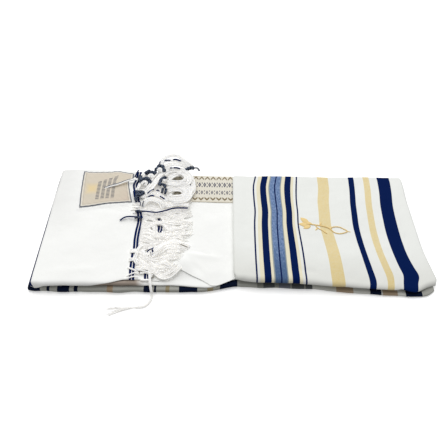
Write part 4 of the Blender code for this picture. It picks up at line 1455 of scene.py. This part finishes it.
# Navy thread wound round the cord, between the knots
UPPER_WINDINGS = strings(
    (1, 0, 3.8, (-153, 131, 27.5), (-149.1, 137.5, 28.5), (-144.7, 142.5, 29.5), (-139.3, 141.5, 29.5),
     (-136.7, 134.4, 28.5), (-132.1, 128.6, 27.2)),
    (1, 0, 4.2, (-171.5, 121.5, 26.5), (-166.5, 127, 27.5), (-160.3, 125, 27.8), (-154.9, 123.2, 27.8),
     (-149.9, 128, 28)),
    (1, 0, 4.6, (-182, 118.5, 26.2), (-180, 108.5, 26.2), (-179, 102, 26.2), (-175.2, 105, 27.2),
     (-170, 106, 27.6), (-164, 104.5, 27.6), (-160.2, 98.5, 26.8), (-163.6, 91.7, 25.8)),
    (1, 0, 3.6, (-186, 77, 24.5), (-181.5, 72.4, 25.5), (-174.8, 72.2, 25.8), (-170.5, 69, 25.4),
     (-175.5, 65, 25), (-181.2, 65.5, 24.8), (-182.6, 57.5, 24), (-181.8, 50, 23.2)),
    (1, 0, 3.6, (-93.5, 135.8, 25.8), (-90, 138.5, 26.2), (-84.2, 142.4, 26.4), (-75.2, 143.2, 25.8)),
)
KNOTS = strings(
    (1, 0, 2.4, (-180, 22.2, 24), (-176.5, 22.8, 25.2), (-172.5, 22.8, 25.2), (-169, 22.2, 24)),
    (1, 0, 2, (-180, 8.5, 22.2), (-176.5, 8.6, 23), (-172.5, 8.6, 23), (-168, 8.4, 22.2)),
)
UNDER_WINDINGS = strings(
    (1, 0, 2.9, (-127.2, 110, 28.5), (-131.9, 110.3, 29), (-137.2, 107.1, 29), (-139.8, 98.7, 28.8),
     (-140.9, 91.5, 28.2), (-135.8, 91.8, 28.4), (-130.8, 88.5, 28.2), (-129.9, 81.5, 27.6)),
    (1, 0, 2.3, (-133.4, 81.3, 28.4), (-133.9, 74.7, 28.4), (-134.5, 68.4, 27.4)),
    (1, 0, 2.3, (-127.2, 80, 28.4), (-127.7, 72.7, 28.4), (-128.8, 66, 27)),
)


def rounded_end(radius):
    """A wound cord, lumpy where its knots are, that narrows at both ends."""
    def thick(share):
        lumps = 1 + 0.16 * math.sin(8 * math.pi * share - 1.2)
        return radius * lumps * math.sqrt(max(1 - (2 * share - 1) ** 8, 0.06))
    return thick


def laid(rows, master):
    threads = []
    for k, row in enumerate(rows):
        for route in side_by_side(row.points, row.count, row.spread, 100 + k):
            radius = rounded_end(row.radius) if master is cord_master else row.radius
            threads.append(lay_thread(master, route, radius))
    return threads


for name, rows, master, finish, slot, nodes in (
        ("upper_tzitzit_cord", UPPER_WINDINGS, cord_master, wound_thread, "navy_thread", ["upper_tzitzit"]),
        ("small_knots", KNOTS, cord_master, wound_thread, "navy_thread", []),
        ("under_tzitzit_cord", UNDER_WINDINGS, cord_master, wound_thread, "navy_thread", ["under_tzitzit"]),
        ("white_strings", WHITE_STRINGS, string_master, string_thread, "white_thread", []),
        ("fringe_ends", FRINGE_ENDS, string_master, white_thread, "white_thread", []),
        ("deep_strings", SHADE_STRINGS, string_master, deep_thread, "white_thread", []),
        ("navy_strings", NAVY_STRINGS, string_master, navy_thread, "navy_thread", []),
        ("grey_strings", GREY_STRINGS, string_master, grey_thread, "navy_thread", [])):
    on_body(bundle(name, laid(rows, master), finish), slot, *nodes)

# Strands that curl back from the upper hem over its stripes
BACK_CURLS = table(
    "y radius slant reach",
    (-64.7, 1.6, 1, 13.5), (-67.2, 1.7, -1, 13.5),
    (-69.7, 1.6, 0, 13.5), (-84.5, 1.6, 1, 13.5),
    (-87.2, 1.5, -1, 13.5), (-108.5, 1.5, 6, 13.5),
    (-114, 1.2, -7, 13.5), (-121.5, 1.2, -5, 13.5),
    (28, 1.4, -4, 20), (31, 1.4, 1, 24),
    (34, 1.4, -2, 17), (37, 1.4, 2, 21),
    (40, 1.4, 0, 19), (43, 1.4, 3, 23),
    (45.5, 1.4, -2, 17), (48, 1.3, 1, 18),
    (76, 1.4, 2, 16), (79.5, 1.4, -2, 15),
    (83, 1.4, 1, 17), (86.5, 1.4, -3, 15),
    (90, 1.4, 2, 16), (93.5, 1.4, -1, 15),
    (97, 1.4, 2, 17), (100.5, 1.3, -2, 15),
    (104, 1.4, 1, 15), (107.5, 1.4, -2, 16.5),
    (111, 1.4, 2, 15), (114.5, 1.4, -1, 16),
    (118, 1.4, 1, 15), (121.5, 1.4, -2, 16),
    (125, 1.4, 2, 15), (128.5, 1.4, -1, 15),
)
CURL_HEIGHT = 0.0014
back_curls = []
for curl in BACK_CURLS:
    high = end_top(END_HEM - 0.008, curl.y) + CURL_HEIGHT
    route = smooth_route((
        (END_HEM + 0.006, curl.y - 0.002 - 0.3 * curl.slant, high - 0.0024),
        (END_HEM - 0.001, curl.y, high),
        (END_HEM - 0.6 * curl.reach, curl.y + 0.5 * curl.slant, high + 0.0004),
        (END_HEM - curl.reach, curl.y + curl.slant, high - 0.0003)), 30)
    back_curls.append(lay_thread(string_master, route, curl.radius))
on_body(bundle("hem_strands", back_curls, white_thread), "white_thread")

# The long string over the front edge, and its frayed tail
FRONT_STRING = places(
    (-144, -106, 20), (-141.5, -118, 19.6), (-140.2, -129, 17.8), (-138.8, -137, 14.5), (-137.2, -142.8, 9),
    (-136.3, -145, 4), (-136.2, -149, 1.8), (-137.2, -155, 1.6), (-140.6, -162.3, 1.6), (-148, -168.7, 1.6),
    (-159.2, -170.6, 1.8))
FRAY_STRANDS = 14
FRAY_ROOT = (-0.1585, -0.1706)
FRAY_HEADING = 184  # in degrees; the strands spread over FRAY_SPREAD round it
FRAY_SPREAD = 16
front_parts = [lay_thread(cord_master, route, 0.0009) for route in side_by_side(FRONT_STRING, 3, 0.0026, 3)]
fray_chance = random.Random(5)
for k in range(FRAY_STRANDS):
    side = k / (FRAY_STRANDS - 1) - 0.5
    reach = fray_chance.uniform(0.036, 0.050)
    bend = fray_chance.uniform(-0.10, 0.10)
    points = []
    for t in spaced(0, 1, 0.2):
        heading = math.radians(FRAY_HEADING + FRAY_SPREAD * side) + bend * t
        points.append((FRAY_ROOT[0] + reach * t * math.cos(heading),
                       FRAY_ROOT[1] + 0.0016 * side + reach * t * math.sin(heading) - 0.0035 * t * t,
                       mix(0.0018, 0.0007 + 0.0016 * fray_chance.random(), t)))
    front_parts.append(lay_thread(fringe_master, smooth_route(points, 18), 0.00060))
on_body(bundle("front_string_thread", front_parts, white_thread), "white_thread", "front_string")

for master in (fringe_master, cord_master, string_master):
    bpy.data.objects.remove(master, do_unlink=True)

# ---------------------------------------------------------------- gold sprig embroidery


def gold_thread():
    finish = Finish("gold_embroidery", "gold", 0.45)
    place = finish.node("ShaderNodeTexCoord", output=3)
    strands = finish.speckle(place, 900.0)
    finish.feed("Base Color", finish.blend(strands, "gold_shade", "gold_light"))
    finish.bump(strands, 0.0003, 0.6)
    return finish.material


SPRIG_LINES = table(
    "radius line",
    (1.2, places((133, 1.5), (144, 0.8), (156, -1.2), (168, -3.5), (178, -9))),  # stem
    (1.0, places((150, -1), (154.5, -8), (161, -12.5), (169, -20))),  # tendril
    (1.1, places((176, -8), (183, -3.5), (193, -3), (201, -7), (207.5, -12.5), (201, -16.5), (192, -19),
                 (183, -16.5), (176, -8))),  # loop
    (0.6, places((207.5, -12.5), (213, -13.8))),  # tip
)
SPRIG_LEAVES = table(
    "x y length width turn",
    (131.8, 9.5, 20.5, 11, 136), (130, 0, 20.5, 10.5, 176),
    (134.5, -6, 16, 8.5, 205), (139.5, 3, 13, 7.5, 158),
    (160, 3, 9, 3.5, 62), (151.5, -10, 8.5, 3.2, 232),
)
LEAF_HEIGHT = 0.0016
STITCH_LIFT = 0.0002


def sprig_height(x, y):
    return striped_top(x, y) + rumpled(x, y, 12) + STITCH_LIFT


sprig = []
for leaf in SPRIG_LEAVES:
    bpy.ops.object.select_all(action="DESELECT")
    bpy.ops.mesh.primitive_uv_sphere_add(segments=16, ring_count=8, radius=0.5)
    piece = bpy.context.object
    turn = math.radians(leaf.turn)
    for point in piece.data.vertices:
        taper = 1 - 0.55 * (2 * point.co.x) ** 2
        along = point.co.x * leaf.length
        side = point.co.y * leaf.width * taper
        x = leaf.x + along * math.cos(turn) - side * math.sin(turn)
        y = leaf.y + along * math.sin(turn) + side * math.cos(turn)
        point.co = (x, y, sprig_height(x, y) + point.co.z * LEAF_HEIGHT)
    sprig.append(piece)
STEM_STEPS = 60
stem_master = master_thread(8, STEM_STEPS)
for radius, line in SPRIG_LINES:
    route = smooth_route([(x, y, 0) for x, y in line], STEM_STEPS)
    for point in route:
        point.z = sprig_height(point.x, point.y) + STITCH_LIFT
    sprig.append(lay_thread(stem_master, route, radius))
bpy.data.objects.remove(stem_master, do_unlink=True)
on_body(bundle("gold_sprig", sprig, gold_thread()), "striped_cloth")

# ---------------------------------------------------------------- floor, light and camera

bpy.ops.object.select_all(action="DESELECT")
bpy.ops.mesh.primitive_plane_add(size=8)
floor = bpy.context.object
floor.name = "floor"
floor_finish = Finish("pale_floor", "floor", 0.9)
floor_finish.feed("Specular IOR Level", 0.1)
floor_finish.feed("Emission Color", (1, 1, 1, 1))
floor_finish.feed("Emission Strength", 0.35)
floor.data.materials.append(floor_finish.material)
floor.visible_diffuse = False

world = bpy.data.worlds.new("studio")
bpy.context.scene.world = world
world.use_nodes = True
world.node_tree.nodes["Background"].inputs["Color"].default_value = (1.0, 1.0, 1.0, 1)
world.node_tree.nodes["Background"].inputs["Strength"].default_value = 0.44

# One large square soft light behind and above, which faces the middle of the object
LAMP_PLACE = Vector((-0.37, 2.62, 3.62))
lamp_data = bpy.data.lights.new("top_light", "AREA")
lamp_data.size = 6.0
lamp_data.energy = 228.0
lamp = bpy.data.objects.new("top_light", lamp_data)
bpy.context.scene.collection.objects.link(lamp)
lamp.rotation_mode = "QUATERNION"
lamp.rotation_quaternion = (-LAMP_PLACE).to_track_quat("-Z", "Y")
lamp.location = LAMP_PLACE
bpy.context.scene.view_settings.view_transform = "Standard"

CAMERA_PLACE = Vector((-0.03598, -0.64940, 0.73598))
YAW = 0.02388  # to the right, in radians
PITCH = 0.83075  # down
ROLL = 0.03374
LENS = 42.97  # mm, on a sensor 36 mm wide
ahead = Vector((math.sin(YAW) * math.cos(PITCH), math.cos(YAW) * math.cos(PITCH), -math.sin(PITCH)))
right = Vector((math.cos(YAW), -math.sin(YAW), 0))
up = right.cross(ahead)
right, up = (math.cos(ROLL) * right + math.sin(ROLL) * up, math.cos(ROLL) * up - math.sin(ROLL) * right)
camera_data = bpy.data.cameras.new("camera")
camera_data.sensor_width = 36.0
camera_data.lens = LENS
camera = bpy.data.objects.new("camera", camera_data)
bpy.context.scene.collection.objects.link(camera)
turned = Matrix((right, up, -ahead)).transposed().to_4x4()
camera.matrix_world = Matrix.Translation(CAMERA_PLACE) @ turned
bpy.context.scene.camera = camera
